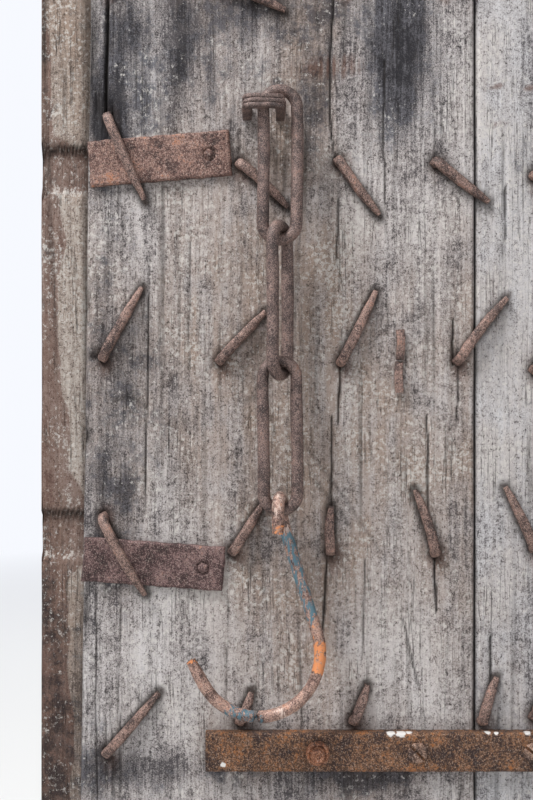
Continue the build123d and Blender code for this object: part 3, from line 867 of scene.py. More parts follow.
bolt_iron = iron(
    "bolt_iron", 0.0004, scale_tint=(112, 70, 50), pale_tint=(186, 134, 104),
    orange_tint=(186, 112, 64), orange_amount=0.3,
)
screw_iron = iron(
    "screw_iron", 0.0003, scale_tint=(92, 70, 60), pale_tint=(178, 146, 126),
    orange_tint=(160, 104, 66), orange_amount=-0.1,
)
chain_iron = iron(
    "chain_iron", 0.0004, 0.6, scale_tint=(66, 50, 47), pale_tint=(146, 122, 114),
    orange_tint=(134, 84, 58), orange_amount=-0.1, coarseness=1.5,
)
nail_iron = iron(
    "nail_iron", 0.0005, 0.5, scale_tint=(74, 54, 49), pale_tint=(172, 142, 130),
    orange_tint=(156, 98, 68), orange_amount=0.0, coarseness=1.5,
)


# Geometry trees: bars that follow a path, and fasteners that repeat

def geometry_tree(name, inputs):
    """An empty tree with named inputs."""
    tree = bpy.data.node_groups.new(name, "GeometryNodeTree")
    tree.interface.new_socket("Geometry", in_out="INPUT", socket_type="NodeSocketGeometry")
    for socket, kind, value in inputs:
        made = tree.interface.new_socket(socket, in_out="INPUT", socket_type=kind)
        if value is not None:
            made.default_value = value
    tree.interface.new_socket("Geometry", in_out="OUTPUT", socket_type="NodeSocketGeometry")
    return tree, tree.nodes.new("NodeGroupInput").outputs, tree.nodes.new("NodeGroupOutput")


def hammered(tree, geometry, given):
    """Push the surface in and out with noise, as hammering and rust leave it."""
    wires = {
        "Vector": node(tree, "GeometryNodeInputPosition").outputs[0],
        "W": given["Seed"],
        "Scale": given["Dents per metre"],
        "Detail": 3.0,
    }
    bumps = node(tree, "ShaderNodeTexNoise", wires, noise_dimensions="4D").outputs["Color"]
    centred = vector_calc(tree, "SUBTRACT", bumps, (0.5, 0.5, 0.5))
    moved = vector_calc(tree, "SCALE", centred, given["Unevenness"], "Scale")
    return node(tree, "GeometryNodeSetPosition", {"Geometry": geometry, "Offset": moved}).outputs[0]


def end_tree(tree, geometry, given, result):
    """The last nodes of every tree."""
    smooth = node(tree, "GeometryNodeSetShadeSmooth", {"Geometry": geometry}).outputs[0]
    real = node(tree, "GeometryNodeRealizeInstances", {"Geometry": smooth}).outputs[0]
    wires = {"Geometry": real, "Material": given["Material"]}
    painted = node(tree, "GeometryNodeSetMaterial", wires).outputs[0]
    tree.links.new(painted, result.inputs[0])


finish_inputs = [
    ("Unevenness", "NodeSocketFloat", 0.0006),
    ("Dents per metre", "NodeSocketFloat", 160.0),
    ("Seed", "NodeSocketFloat", 1.0),
    ("Material", "NodeSocketMaterial", None),
]


def point_mark(tree, name, kind="FLOAT"):
    """A mark stored on the source's points."""
    return node(tree, "GeometryNodeInputNamedAttribute", {"Name": name}, data_type=kind).outputs[0]


def bar_tree(name, square):
    """A bar along each line of the mesh: its half size and its upper side are marks on the points."""
    sizes = [("Sides", "NodeSocketInt", 16)]
    if square:
        sizes += [(size, "NodeSocketFloat", 2.0) for size in ("Breadth", "Depth", "Corner")]
    tree, given, result = geometry_tree(name, sizes + finish_inputs)
    line = node(tree, "GeometryNodeMeshToCurve", {"Mesh": given["Geometry"]}).outputs[0]
    up, half = point_mark(tree, "up", "FLOAT_VECTOR"), point_mark(tree, "half")
    line = node(tree, "GeometryNodeSetCurveNormal", {"Curve": line, "Normal": up}, mode="FREE").outputs[0]
    if square:
        wires = {"Width": given["Depth"], "Height": given["Breadth"]}
        section = node(tree, "GeometryNodeCurvePrimitiveQuadrilateral", wires).outputs[0]
        wires = {"Curve": section, "Count": 3, "Radius": given["Corner"], "Limit Radius": True}
        section = node(tree, "GeometryNodeFilletCurve", wires, mode="POLY").outputs[0]
        wires = {"Curve": section, "Count": given["Sides"]}
        section = node(tree, "GeometryNodeResampleCurve", wires).outputs[0]
    else:
        wires = {"Resolution": given["Sides"], "Radius": 1.0}
        section = node(tree, "GeometryNodeCurvePrimitiveCircle", wires).outputs[0]
    wires = {"Curve": line, "Profile Curve": section, "Scale": half, "Fill Caps": True}
    bar = node(tree, "GeometryNodeCurveToMesh", wires).outputs[0]
    end_tree(tree, hammered(tree, bar, given), given, result)
    return tree


def fastener_tree(name):
    """The same fastener at each point, turned about the leaf's outward direction."""
    tree, given, result = geometry_tree(name, [("Pattern", "NodeSocketObject", None)] + finish_inputs)
    pattern = node(tree, "GeometryNodeObjectInfo", {"Object": given["Pattern"]}).outputs["Geometry"]
    wires = {"Axis": (1, 0, 0), "Angle": point_mark(tree, "turn")}
    rotation = node(tree, "FunctionNodeAxisAngleToRotation", wires).outputs[0]
    wires = {"Points": given["Geometry"], "Instance": pattern, "Rotation": rotation}
    copies = node(tree, "GeometryNodeInstanceOnPoints", wires).outputs[0]
    real = node(tree, "GeometryNodeRealizeInstances", {"Geometry": copies}).outputs[0]
    end_tree(tree, hammered(tree, real, given), given, result)
    return tree


def grow(name, source, tree, **values):
    """Run a tree on a source object and keep the plain mesh that comes out."""
    modifier = source.modifiers.new("tree", "NODES")
    modifier.node_group = tree
    names = {item.name: item.identifier for item in tree.interface.items_tree if item.in_out == "INPUT"}
    for key, value in by_socket(values).items():
        modifier[names[key]] = value
    mesh = modified_mesh(source)
    bpy.data.objects.remove(source)
    mesh.name = name
    turn_outwards(mesh)
    return show(name, mesh)


def lines_object(lines, closed=False, marks=None):
    """An object of plain lines. Each line is its points, half sizes and upper sides."""
    points, edges, halves, ups, extras = [], [], [], [], {key: [] for key in (marks or {})}
    for number, (line, half, up) in enumerate(lines):
        start = len(points)
        points += [tuple(p) for p in line]
        edges += [(start + i, start + i + 1) for i in range(len(line) - 1)]
        if closed:
            edges.append((start + len(line) - 1, start))
        halves += list(np.broadcast_to(half, len(line)))
        ups += [tuple(u) for u in up]
        for key in extras:
            extras[key] += list(marks[key][number])
    mesh = bpy.data.meshes.new("lines")
    mesh.from_pydata(points, edges, [])
    store(mesh, "half", halves)
    upper_sides = mesh.attributes.new("up", "FLOAT_VECTOR", "POINT")
    upper_sides.data.foreach_set("vector", np.array(ups, dtype=np.float32).ravel())
    for key, values in extras.items():
        store(mesh, key, values)
    return show("lines", mesh)


round_bar = bar_tree("round_bar", False)
square_bar = bar_tree("square_bar", True)
fasteners = fastener_tree("fasteners")


def nail_line(inset, height, turn, length, lift=0.0, number=0):
    """The middle line of a nail's turned-over leg, with its half width and upper side."""
    rng = np.random.default_rng(900 + number)
    bow, rise = rng.uniform(-1.6, 1.6), rng.uniform(0.0, 0.9)
    along = np.array([-0.2, 0.0, 0.3, 1.4, 3.4, 6.5, *np.linspace(0.22, 1.0, 9) * length])
    fall = 3.5 + rise - (2.4 + rise) * np.linspace(0.05, 1.0, 9) ** 2.2
    out = np.array([-7.0, -2.0, 0.4, 2.5, 3.5, 3.7, *fall])
    out = out + lift * np.clip(along / 4, 0, 1)
    half = np.interp(along, [0, 0.25 * length, 0.7 * length, length], [3.1, 3.3, 2.9, 1.6])
    side = bow * np.sin(np.pi * np.clip(along / length, 0, 1))
    c, s = math.cos(math.radians(turn)), math.sin(math.radians(turn))
    line = place(inset + along * c - side * s, height + along * s + side * c, out)
    run = np.gradient(along)
    climb = np.gradient(out)
    up = np.stack([run, -climb * c, -climb * s], axis=-1)
    return line, half * MM, up / np.linalg.norm(up, axis=1)[:, None]


def build_nail_legs():
    """All the turned-over legs on the inner face."""
    source = lines_object([nail_line(*nail, number=number) for number, nail in enumerate(nails)])
    return grow(
        "nail_legs", source, square_bar, breadth=2.0, depth=1.85, corner=0.5, sides=14,
        unevenness=0.0013, dents_per_metre=260.0, seed=3.0, material=nail_iron,
    )


def points_object(spots, turns):
    """An object of loose points, each with its turn."""
    mesh = bpy.data.meshes.new("spots")
    mesh.from_pydata([tuple(s) for s in spots], [], [])
    store(mesh, "turn", turns)
    return show("spots", mesh)


def turned(name, profile, sides=28):
    """A turned shape about x: the profile is pairs of out and radius, in millimetres, closed at both ends."""
    points, faces = [], []
    for out, radius in profile:
        for step in range(sides):
            angle = 2 * math.pi * step / sides
            points.append((out * MM, radius * math.cos(angle) * MM, radius * math.sin(angle) * MM))
    last = (len(profile) - 1) * sides
    for start in range(0, last, sides):
        for step in range(sides):
            here, following = start + step, start + (step + 1) % sides
            faces.append((here, following, following + sides, here + sides))
    faces += [tuple(range(sides)), tuple(range(last, last + sides))]
    return new_piece(name, points, faces)


def rose_head():
    """A hammered four-sided nail head that faces outdoors."""
    steps = 6
    size, height = 10.0, 7.0
    points, index = [], {}
    grid = np.linspace(-1, 1, steps + 1)
    for i, a in enumerate(grid):
        for j, b in enumerate(grid):
            rise = height * (1 - max(abs(a), abs(b))) ** 0.8 * (1 - 0.12 * min(abs(a), abs(b)))
            bulge = 1 - 0.06 * abs(a * b)
            index[i, j] = len(points)
            points.append((-(0.6 + rise * 0.9) * MM, a * size * bulge * MM, b * size * bulge * MM))
    rim = [index[i, 0] for i in range(steps)] + [index[steps, j] for j in range(steps)]
    rim += [index[i, steps] for i in range(steps, 0, -1)] + [index[0, j] for j in range(steps, 0, -1)]
    corners = [(i, j) for i in range(steps) for j in range(steps)]
    faces = [(index[i, j], index[i + 1, j], index[i + 1, j + 1], index[i, j + 1]) for i, j in corners]
    base, count = len(points), len(rim)
    points += [(0.8 * MM, points[k][1], points[k][2]) for k in rim]
    faces += [(rim[k], rim[(k + 1) % count], base + (k + 1) % count, base + k) for k in range(count)]
    faces.append(tuple(range(base, base + count)))
    return new_piece("rose_head", points, faces)


def build_nail_heads():
    """The nail heads on the outer face."""
    pattern = rose_head()
    spots = [place(n[0], n[1], -leaf_thickness) for n in nails]
    source = points_object(spots, [math.radians(n[2]) for n in nails])
    piece = grow(
        "nail_heads", source, fasteners, pattern=pattern,
        unevenness=0.0014, dents_per_metre=150.0, seed=5.0, material=nail_iron,
    )
    bpy.data.objects.remove(pattern)
    return piece


# Chain, hook and staple

chain_inset = 164.5
chain_stand = 20.0
wire = 3.95
link_bend = 10.75
link_straight = 37.1
link_heights = (797.2, 710.7, 624.2)
link_2_turn = 63.0
hook_wire = 3.85
hook_eye = 8.35
hook_skew = 0.17
hook_tilt = 5.3
hook_tail = 14.5
neck_radius, neck_turn = 38.8, 17.1
shank_length = 70.7
throat_radius, throat_turn = 39.8, 167.6
point_length = 17.0


def stadium(bend_radius, straight, steps=14, runs=10):
    """Points round a link: across and along."""
    turn = np.linspace(0, math.pi, steps)
    run = np.linspace(-straight, straight, runs + 2)[1:-1]
    swing, rise, side = bend_radius * np.cos(turn), bend_radius * np.sin(turn), np.full(runs, bend_radius)
    across = np.concatenate([swing, -side, -swing, side])
    return across, np.concatenate([straight + rise, -run, -straight - rise, run])


def build_link(number):
    """One forged link, its joint a little thicker."""
    across, along = stadium(link_bend, link_straight)
    turn = math.radians(link_2_turn if number == 2 else 0.0)
    wobble = 0.35 * np.sin(along / 17 + number)
    across_bent = across + wobble
    inset = chain_inset + across_bent * math.cos(turn)
    out = chain_stand - across_bent * math.sin(turn)
    line = place(inset, link_heights[number - 1] + along, out)
    weld = np.exp(-(((along - 14 * (number - 2)) / 7) ** 2)) * (across > 0)
    worn = np.exp(-(((np.abs(along) - link_straight - link_bend) / 5) ** 2))
    half = (wire * (1.0 + 0.05 * weld - 0.05 * worn + 0.02 * np.sin(along / 8))) * MM
    up = np.tile([math.cos(turn), math.sin(turn), 0.0], (len(across), 1))
    source = lines_object([(line, half, up)], closed=True)
    return grow(
        f"chain_link_{number}_dressed", source, round_bar, sides=18,
        unevenness=0.0009, dents_per_metre=190.0, seed=float(number), material=chain_iron,
    )


def hook_line():
    """The hook's middle line, from the eye's end at the front, over, down the shank and round the throat."""
    shift, tilt = hook_skew * hook_eye, math.radians(hook_tilt)
    pivot = link_heights[2] - link_straight - link_bend
    points = [(-shift * 0.99, -hook_tail, hook_eye * 0.95)]
    points += [(-shift, 5.0 - hook_tail, hook_eye), (-shift, 10.0 - hook_tail, hook_eye)]
    for angle in np.radians(np.linspace(0, 180, 13)):
        points.append((-shift * math.cos(angle), hook_eye * math.sin(angle), hook_eye * math.cos(angle)))
    x, y, heading = shift, 0.0, math.radians(-90)

    def go(length):
        """Move one step the way the rod heads."""
        nonlocal x, y
        x, y = x + length * math.cos(heading), y + length * math.sin(heading)

    def arc(bend_radius, degrees, steps):
        """A bend, to the left where the degrees are above 0."""
        nonlocal heading
        half_step = math.radians(degrees) / steps / 2
        for _ in range(steps):
            heading += half_step
            go(2 * bend_radius * math.sin(abs(half_step)))
            heading += half_step
            points.append((x, y, -hook_eye))

    def straight(length, steps):
        """A straight length."""
        for _ in range(steps):
            go(length / steps)
            points.append((x, y, -hook_eye))

    arc(neck_radius, neck_turn, 4)
    straight(shank_length, 14)
    arc(throat_radius, -throat_turn, 30)
    straight(point_length, 4)
    across, rise, out = np.array(points).T
    rise, out = rise * math.cos(tilt) + out * math.sin(tilt), out * math.cos(tilt) - rise * math.sin(tilt)
    return chain_inset + across, pivot + rise, chain_stand + out


def build_hook():
    """The hook, with remains of orange, blue and white paint."""
    inset, height, out = hook_line()
    line = place(inset, height, out)
    steps = np.linalg.norm(np.diff(line, axis=0), axis=1)
    run = np.concatenate([[0], np.cumsum(steps)]) / MM
    whole = run[-1]
    taper = np.interp(run, [0, 4, whole - 9, whole], [0.86, 1.0, 1.0, 0.8])
    half = hook_wire * (1 + 0.03 * np.sin(run / 9)) * taper * MM
    tangent = np.gradient(line, axis=0)
    up = np.cross(tangent, np.tile([0.0, 1.0, 0.0], (len(line), 1)))
    weak = np.linalg.norm(up, axis=1) < 1e-6
    up[weak] = (1, 0, 0)
    up = up / np.linalg.norm(up, axis=1)[:, None]

    def band(start, end, soft=5.0):
        """1 between two places along the rod, fading out at both."""
        return np.clip((run - start) / soft, 0, 1) * np.clip((end - run) / soft, 0, 1)

    ends = [0.8 * band(-9, 9, 2), 0.9 * band(whole - 5, whole + 9, 3)]
    paint = {
        "orange_paint": ends + [0.55 * band(104, 128), band(124, 152)],
        "blue_paint": [0.85 * band(50, 118), 0.75 * band(190, 222)],
        "white_paint": [0.8 * band(4, 44), 0.95 * band(44, 92), 0.9 * band(176, 190), 0.5 * band(222, whole)],
    }
    marks = {key: [np.maximum.reduce(bands)] for key, bands in paint.items()}
    source = lines_object([(line, half, up)], marks=marks)
    return grow(
        "hook_dressed", source, round_bar, sides=20,
        unevenness=0.0008, dents_per_metre=210.0, seed=9.0, material=hook_iron,
    )


def painted_iron():
    """Rusty iron with remains of paint where the marks say so."""
    material = iron(
        "painted_iron", 0.0003, 0.4, scale_tint=(108, 80, 72), pale_tint=(206, 172, 156),
        orange_amount=0.1, coarseness=1.4,
    )
    tree = material.node_tree
    colour_socket = tree.nodes["Principled BSDF"].inputs["Base Color"]
    base = colour_socket.links[0].from_socket
    vector = object_place(tree)
    flake = noise(tree, vector, 260.0, 6.0, 0.7)
    streaks = noise(tree, vector, 1.0, 6.0, 0.7, stretch=(420, 420, 110))
    for name, tint, share, low in (
        ("white_paint", colour(206, 184, 172), streaks, 0.53),
        ("blue_paint", colour(92, 122, 134), streaks, 0.46),
        ("orange_paint", colour(222, 146, 96), flake, 0.47),
    ):
        paint = mark(tree, name)
        cover = total_of(tree, (paint, 0.35), (share, 1.0))
        left = calc(tree, "MULTIPLY", span(tree, paint, 0.05, 0.3), span(tree, cover, low + 0.3, low + 0.34))
        base = blend(tree, left, base, tint)
    tree.links.new(base, colour_socket)
    return material


hook_iron = painted_iron()


def build_staple():
    """The chain's flat staple: leaves of iron that rust has opened, over two legs."""
    span_width, clearance, half_bar, corner = 21.5, 1.1, 3.1, 2.2
    left, right = chain_inset - span_width, chain_inset
    reach = chain_stand + wire + clearance + half_bar
    middle_height = 835.7
    leg_outs = (-20.0, -4.0, 8.0, reach - corner - 2)
    leaves = ((-2.75, 0.0, 0.4, 1.45), (0.0, -0.5, 0.8, 1.5), (2.75, -0.2, 0.1, 1.45))
    lines = []
    for layer, (shift, grow_left, grow_right, thick) in enumerate(leaves):
        start, end = left - grow_left, right + grow_right
        path = [(start, out) for out in leg_outs]
        path += [(start + corner * 0.3, reach - corner * 0.4), (start + corner, reach)]
        path += [(left + 7, reach + 0.3), (left + 14, reach + 0.2)]
        path += [(end - corner, reach), (end - corner * 0.3, reach - corner * 0.4)]
        path += [(end, out) for out in reversed(leg_outs)]
        path = np.array(path)
        line = place(path[:, 0], middle_height + shift + 0.25 * np.sin(path[:, 0] / 3 + layer), path[:, 1])
        up = np.tile([0.0, 0.0, 1.0], (len(path), 1))
        lines.append((line, np.full(len(path), thick * MM), up))
    source = lines_object(lines)
    return grow(
        "chain_staple_dressed", source, square_bar, breadth=4.1, depth=1.95, corner=0.3, sides=20,
        unevenness=0.0008, dents_per_metre=330.0, seed=4.0, material=chain_iron,
    )


def build_split_pin():
    """One strip bent round an eye outdoors, both halves through the leaf and clinched up and down."""
    inset, height, thick, leg = 243.5, datum + 104.0, 2.6, 20.0
    plate, eye = 3.0, 5.0
    middle = thick / 2
    eye_out = -leaf_thickness - plate - eye - thick
    eye_bend = eye + middle
    bow = [(leg - step, middle + 0.2 + 0.9 * math.sin(step / leg * 5)) for step in np.linspace(0, leg - 3.0, 8)]
    shank = [(middle + 0.7, 1.2), (middle + 0.1, -1.5)]
    shank += [(middle, out) for out in (-10.0, -40.0, -leaf_thickness)]
    turn = np.radians(np.linspace(20, 340, 22))
    bend = [(eye_bend * math.sin(a), eye_out + eye_bend * math.cos(a)) for a in turn]
    upper = bow + shank
    lower = [(-rise - 0.8 * (out > 0), out) for rise, out in reversed(upper)]
    path = np.array(upper + bend + lower)
    line = place(np.full(len(path), inset) + 0.8 * np.sin(path[:, 0] / 7), height + path[:, 0], path[:, 1])
    run = np.gradient(path, axis=0)
    run = run / np.maximum(np.linalg.norm(run, axis=1), 1e-6)[:, None]
    up = np.stack([run[:, 0], np.zeros(len(path)), -run[:, 1]], axis=-1)
    source = lines_object([(line, np.full(len(path), middle * MM), up)])
    return grow(
        "split_pin_dressed", source, square_bar, breadth=4.2, depth=2.0, corner=0.4, sides=18,
        unevenness=0.0009, dents_per_metre=380.0, seed=12.0, material=nail_iron,
    )


def strap_line(height):
    """The middle line of a hinge strap: the flat bar, then its rolled eye."""
    eye_radius, eye_inset = 16.05, 1078.0
    bar = np.arange(strap_start, eye_inset, 4.0)
    middle = strap_thickness / 2
    inset = list(bar)
    out = [middle] * len(bar)
    turn_radius = eye_radius - middle
    for degrees in np.arange(-90, 236, 9.0):
        inset.append(eye_inset + turn_radius * math.cos(math.radians(degrees)))
        out.append(eye_radius + turn_radius * math.sin(math.radians(degrees)))
    inset, out = np.array(inset), np.array(out)
    line = place(inset, np.full(len(inset), height), out)
    run = np.stack([np.gradient(inset), np.gradient(out)], axis=-1)
    run = run / np.linalg.norm(run, axis=1)[:, None]
    up = np.stack([run[:, 0], -run[:, 1], np.zeros(len(inset))], axis=-1)
    return line, np.full(len(inset), middle * MM), up


def build_strap(name):
    """A pitted hinge strap with its rolled eye."""
    source = lines_object([strap_line(strap_heights[name])])
    breadth, seed = strap_height / strap_thickness * 2, 6.0 if name == "lower" else 7.0
    return grow(
        f"{name}_hinge_strap_dressed", source, square_bar, breadth=breadth, depth=2.0, corner=0.3, sides=44,
        unevenness=0.0011, dents_per_metre=230.0, seed=seed, material=strap_iron,
    )


# Fasteners of the straps: where they stand along a strap, and their profiles as pairs of out and radius
bolt_insets = (73.0, 854.0)
screw_insets = (138.2, 213.8, 446.0, 676.0)
bolt_turns = (0.3, 1.1)
screw_turns = [math.radians(-45 + 9 * step) for step in (0, 1, -2, 3)]
bolt_end = (
    (-2, 7.7), (2.6, 7.8), (3.6, 7.3), (4.0, 6.4), (4.0, 5.6), (3.2, 5.3), (3.3, 4.9),
    (6.4, 4.7), (8.4, 4.4), (9.0, 3.6), (9.0, 2.6), (8.3, 2.2), (8.3, 0.8),
)
bolt_head = ((1.0, 11.9), (-0.6, 12.0), (-2.0, 11.4), (-3.4, 9.4), (-4.4, 6.4), (-5.0, 2.6))
screw_head = ((-2.0, 6.5), (1.0, 6.6), (1.7, 6.2), (2.1, 5.2), (2.3, 3.0), (2.4, 1.0))


def slotted_head():
    """A screw's turned head with its slot cut."""
    screw = turned("screw_head", screw_head, sides=32)
    x, y, z = (-1.0, 4.0), (-9, 9), (-0.95, 0.95)
    corners = [(a * MM, b * MM, c * MM) for a in x for b in y for c in z]
    sides = [(0, 1, 3, 2), (4, 6, 7, 5), (0, 4, 5, 1), (2, 3, 7, 6), (0, 2, 6, 4), (1, 5, 7, 3)]
    slot_box = new_piece("slot", corners, sides)
    cutter = screw.modifiers.new("slot", "BOOLEAN")
    cutter.object, cutter.operation, cutter.solver = slot_box, "DIFFERENCE", "EXACT"
    screw.data = modified_mesh(screw)
    bpy.data.objects.remove(slot_box)
    return screw


def build_strap_fasteners(name):
    """The bolt ends, bolt heads and slotted screws of one strap."""
    pieces = []
    for kind, pattern, insets, out, turns, values in (
        ("bolt_ends", turned("bolt_end", bolt_end), bolt_insets, strap_thickness, bolt_turns,
         {"unevenness": 0.0009, "dents_per_metre": 300.0, "seed": 2.0, "material": bolt_iron}),
        ("bolt_heads", turned("bolt_head", bolt_head), bolt_insets, -leaf_thickness, bolt_turns,
         {"unevenness": 0.0009, "dents_per_metre": 200.0, "seed": 2.0, "material": nail_iron}),
        ("screw_heads", slotted_head(), screw_insets, strap_thickness, screw_turns,
         {"unevenness": 0.0004, "dents_per_metre": 300.0, "seed": 8.0, "material": screw_iron}),
    ):
        spots = [place(strap_start + inset, strap_heights[name], out) for inset in insets]
        source = points_object(spots, turns)
        pieces.append(grow(f"{name}_{kind}", source, fasteners, pattern=pattern, **values))
        bpy.data.objects.remove(pattern)
    return pieces


def spatter(material, spots, tint):
    """Spots of whitewash on a finish: each has its place and its half size in millimetres."""
    tree = material.node_tree
    vector = object_place(tree)
    ragged = noise(tree, vector, 420.0, 5.0, 0.7)
    colour_socket = tree.nodes["Principled BSDF"].inputs["Base Color"]
    base = colour_socket.links[0].from_socket
    for spot, size in spots:
        wires = {0: vector, 1: tuple(place(*spot))}
        away = node(tree, "ShaderNodeVectorMath", wires, operation="DISTANCE").outputs["Value"]
        near = calc(tree, "ADD", calc(tree, "DIVIDE", away, size * MM), calc(tree, "MULTIPLY", ragged, 1.6))
        base = blend(tree, span(tree, near, 1.95, 1.65), base, tint)
    tree.links.new(base, colour_socket)


strap_top = strap_heights["lower"] + strap_height / 2
spatter(
    strap_iron,
    [
        ((127.5, 409.5, 8.0), 1.7),
        ((237.0, strap_top, 6.5), 2.8),
        ((243.5, strap_top, 7.0), 3.2),
        ((249.0, strap_top, 6.0), 2.0),
        ((300.0, strap_top, 6.0), 2.0),
        ((305.5, strap_top, 7.0), 1.5),
        ((326.0, strap_top, 6.0), 2.4),
    ],
    colour(228, 224, 220),
)


def build_edge_strap(name, inset, rise, length, height, tilt, seed):
    """A short sawn-off strap, hammered thin and pitted, with its nail in its hole."""
    c, s = math.cos(math.radians(tilt)), math.sin(math.radians(tilt))
    along = np.linspace(-length / 2, length / 2, 90)
    over = np.linspace(-height / 2, height / 2, 34)
    a, b = np.meshgrid(along, over, indexing="ij")
    thick, nail_inset, hole_radius, nail_radius = 3.0, 14.0, 4.8, 3.4
    edge = np.minimum(np.minimum(a + length / 2, length / 2 - a), np.minimum(b + height / 2, height / 2 - b))
    top = thick - 0.25 + 0.3 * rough_noise(a / 9, b / 9, seed, 4) - 0.9 * np.clip(1 - edge / 1.3, 0, 1) ** 2
    gap = np.hypot(a - length / 2 + nail_inset, b)
    top = top - 2.2 * np.clip((hole_radius - gap) / 0.9, 0, 1)
    nail = 2.6 + 0.9 * np.sqrt(np.clip(1 - (gap / nail_radius) ** 2, 0, 1))
    top = np.where(gap < nail_radius, np.maximum(top, nail), top)
    ragged = 0.55 * rough_noise(a / 5, b * 0 + seed, seed + 1, 3) * (np.abs(b) > height / 2 - 0.1)
    b_bent = b + ragged
    ends = 0.7 * rough_noise(b / 6, a * 0 + seed, seed + 2, 3) * (np.abs(a) > length / 2 - 0.1)
    a_bent = a + ends
    u = inset + a_bent * c - b_bent * s
    v = datum + rise + a_bent * s + b_bent * c
    quads, ring = sheet(a.shape)
    seat = -0.3
    points = np.concatenate([place(u, v, top).reshape(-1, 3), place(u, v, seat).reshape(-1, 3)[ring]])
    return new_piece(name, points, over_flat_back(quads, ring, a.size))


def softened(node_name, width):
    """A copy of a CAD node with its edges worn."""
    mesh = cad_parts[node_name].data.copy()
    mesh.name = f"{node_name}_dressed"
    mesh.materials.clear()
    turn_outwards(mesh, flat_angle=math.radians(0.5))
    piece = show(mesh.name, mesh)
    bevel = piece.modifiers.new("worn edges", "BEVEL")
    bevel.width, bevel.segments, bevel.limit_method, bevel.angle_limit = width, 2, "ANGLE", math.radians(35)
    piece.data = modified_mesh(piece)
    piece.data.set_sharp_from_angle(angle=math.radians(40))
    return piece


# The making of each piece, what it stands for and the body that it moves with

def settle(piece, material, body, slot_name, *stands_for):
    """Give a piece its finish, its body and the CAD nodes that it stands for."""
    piece.data.materials.clear()
    piece.data.materials.append(material)
    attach(piece, body)
    if stands_for:
        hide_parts(*stands_for)


planks, boards, straps = ("leaf", "inner_planks"), ("leaf", "outer_boards"), ("leaf", "strap_iron")
settle(build_first_plank(), plank_wood, *planks, "inner_plank_1")
for number in (2, 3, 4):
    settle(build_plank(number), pale_wood, *planks, f"inner_plank_{number}")
free_stile = build_stile("free_stile_dressed", 0.0, stile_width, 61, True)
settle(free_stile, lip_wood, *boards, "free_stile")
hinge_stile = build_stile("hinge_stile_dressed", 2 * leaf_radius - stile_width, 2 * leaf_radius, 62, False)
settle(hinge_stile, lip_wood, *boards, "hinge_stile")
for number in range(1, 9):
    settle(build_board(number), level_wood, *boards, f"outer_board_{number}")
settle(build_nail_legs(), nail_iron, "leaf", "nail_iron", *[f"nail_row_{row}" for row in range(1, 16)])
settle(build_nail_heads(), nail_iron, "leaf", "nail_iron")
for number in (1, 2, 3):
    settle(build_link(number), chain_iron, f"link_{number}", "chain_iron", f"chain_link_{number}")
settle(build_hook(), hook_iron, "hook", "chain_iron", "hook")
settle(build_staple(), chain_iron, "leaf", "chain_iron", "chain_staple")
for name in ("lower", "upper"):
    settle(build_strap(name), strap_iron, *straps, f"{name}_hinge_strap")
    ends, heads, screws = build_strap_fasteners(name)
    settle(ends, bolt_iron, *straps, f"{name}_strap_bolts")
    settle(heads, nail_iron, *straps)
    settle(screws, screw_iron, *straps, f"{name}_strap_screws")
for name, sizes, material, others in (
    ("upper_edge_strap", (85.5, 237.0, 93.5, 30.0, 4.7, 71), orange_edge_iron, ["edge_strap_nails"]),
    ("lower_edge_strap", (81.5, -30.0, 93.0, 29.0, -4.3, 81), edge_iron, []),
):
    settle(build_edge_strap(f"{name}_dressed", *sizes), material, "leaf", "edge_strap_iron", name, *others)

for name, width, material in (
    ("sill", 0.003, sill_wood), ("hinge_jamb", 0.003, frame_wood), ("latch_jamb", 0.003, frame_wood),
    ("head_segment_1", 0.003, frame_wood), ("head_segment_2", 0.003, sill_wood),
    ("head_segment_3", 0.003, frame_wood), ("frame_pegs", 0.001, frame_wood),
):
    settle(softened(name, width), material, "frame", "frame_oak", name)
for name in ("lower_pintle", "upper_pintle", "keeper_staple"):
    settle(softened(name, 0.0012), strap_iron, "frame", "strap_iron", name)
settle(build_split_pin(), nail_iron, *straps, "split_pin")
settle(softened("ring_pull_plate", 0.0007), strap_iron, *straps, "ring_pull_plate")
settle(softened("ring_pull", 0.0006), chain_iron, "ring_pull", "strap_iron", "ring_pull")


# Floor and light

pale = (0.93, 0.95, 1.0, 1.0)


def seen_rays(tree):
    """1 for what the camera sees, straight or in a mirror or glass."""
    rays = node(tree, "ShaderNodeLightPath").outputs
    mirrored = calc(tree, "MAXIMUM", rays["Is Glossy Ray"], rays["Is Transmission Ray"])
    return calc(tree, "MAXIMUM", rays["Is Camera Ray"], mirrored)


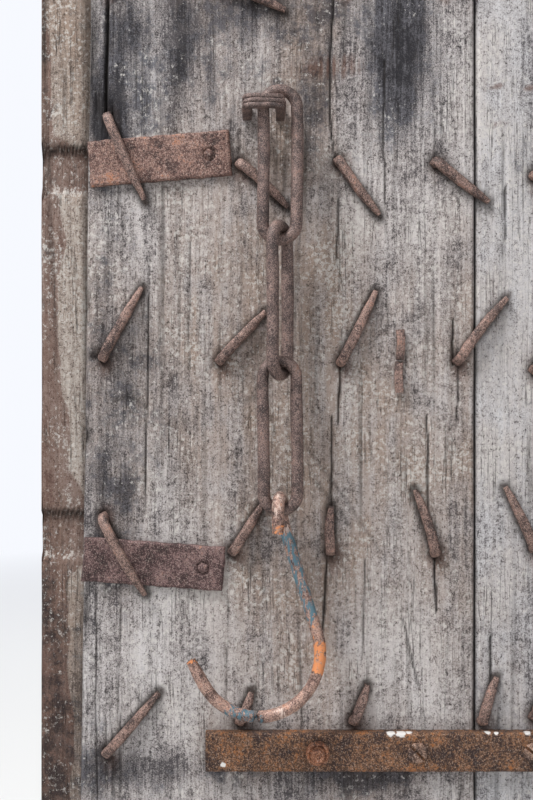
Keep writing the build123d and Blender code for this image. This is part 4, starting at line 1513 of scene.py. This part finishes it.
def floor_material():
    """A pale floor that keeps the shadow and fades into the background far away."""
    material, tree = new_material("pale_floor")
    shader = tree.nodes["Principled BSDF"]
    shader.inputs["Base Color"].default_value = (0.8, 0.8, 0.79, 1)
    shader.inputs["Roughness"].default_value = 0.9
    spot = node(tree, "ShaderNodeNewGeometry").outputs["Position"]
    distance = node(tree, "ShaderNodeVectorMath", {0: spot}, operation="LENGTH").outputs["Value"]
    far = calc(tree, "MULTIPLY", span(tree, distance, 1.3, 3.6), seen_rays(tree))
    glow = node(tree, "ShaderNodeEmission", {"Color": pale, "Strength": 1.0})
    both = node(tree, "ShaderNodeMixShader", {0: far, 1: shader.outputs[0], 2: glow.outputs[0]})
    tree.links.new(both.outputs[0], tree.nodes["Material Output"].inputs["Surface"])
    return material


floor_reach, floor_drop = 6.0, 0.0005
corners = ((-1, -1), (1, -1), (1, 1), (-1, 1))
floor_mesh = bpy.data.meshes.new("floor")
floor_points = [(x * floor_reach, y * floor_reach, -floor_drop) for x, y in corners]
floor_mesh.from_pydata(floor_points, [], [(0, 1, 2, 3)])
floor_mesh.materials.append(floor_material())
show("floor", floor_mesh)

world = bpy.data.worlds.new("studio")
bpy.context.scene.world = world
world.use_nodes = True
sky = world.node_tree
background = sky.nodes["Background"]
strength = span(sky, seen_rays(sky), 0.0, 1.0, 0.3, 1.0)
background.inputs["Color"].default_value = pale
sky.links.new(strength, background.inputs["Strength"])


def soft_light(name, spot, target, size, power):
    """A large soft lamp aimed at a spot."""
    lamp = bpy.data.lights.new(name, "AREA")
    lamp.shape, lamp.size, lamp.energy = "SQUARE", size, power
    holder = show(name, lamp)
    holder.location = spot
    holder.rotation_euler = (Vector(target) - Vector(spot)).to_track_quat("-Z", "Y").to_euler()


soft_light("key", (1.25, -1.95, 2.3), (0.54, -0.95, 0.7), 0.7, 52.0)
soft_light("fill", (2.4, 0.6, 1.4), (0.54, -0.7, 0.9), 1.6, 9.0)
soft_light("rear", (-1.8, -1.6, 2.4), (0.3, -0.6, 1.0), 1.8, 40.0)
soft_light("outside", (-0.4, 2.8, 2.3), (0.0, 0.0, 1.0), 1.8, 40.0)
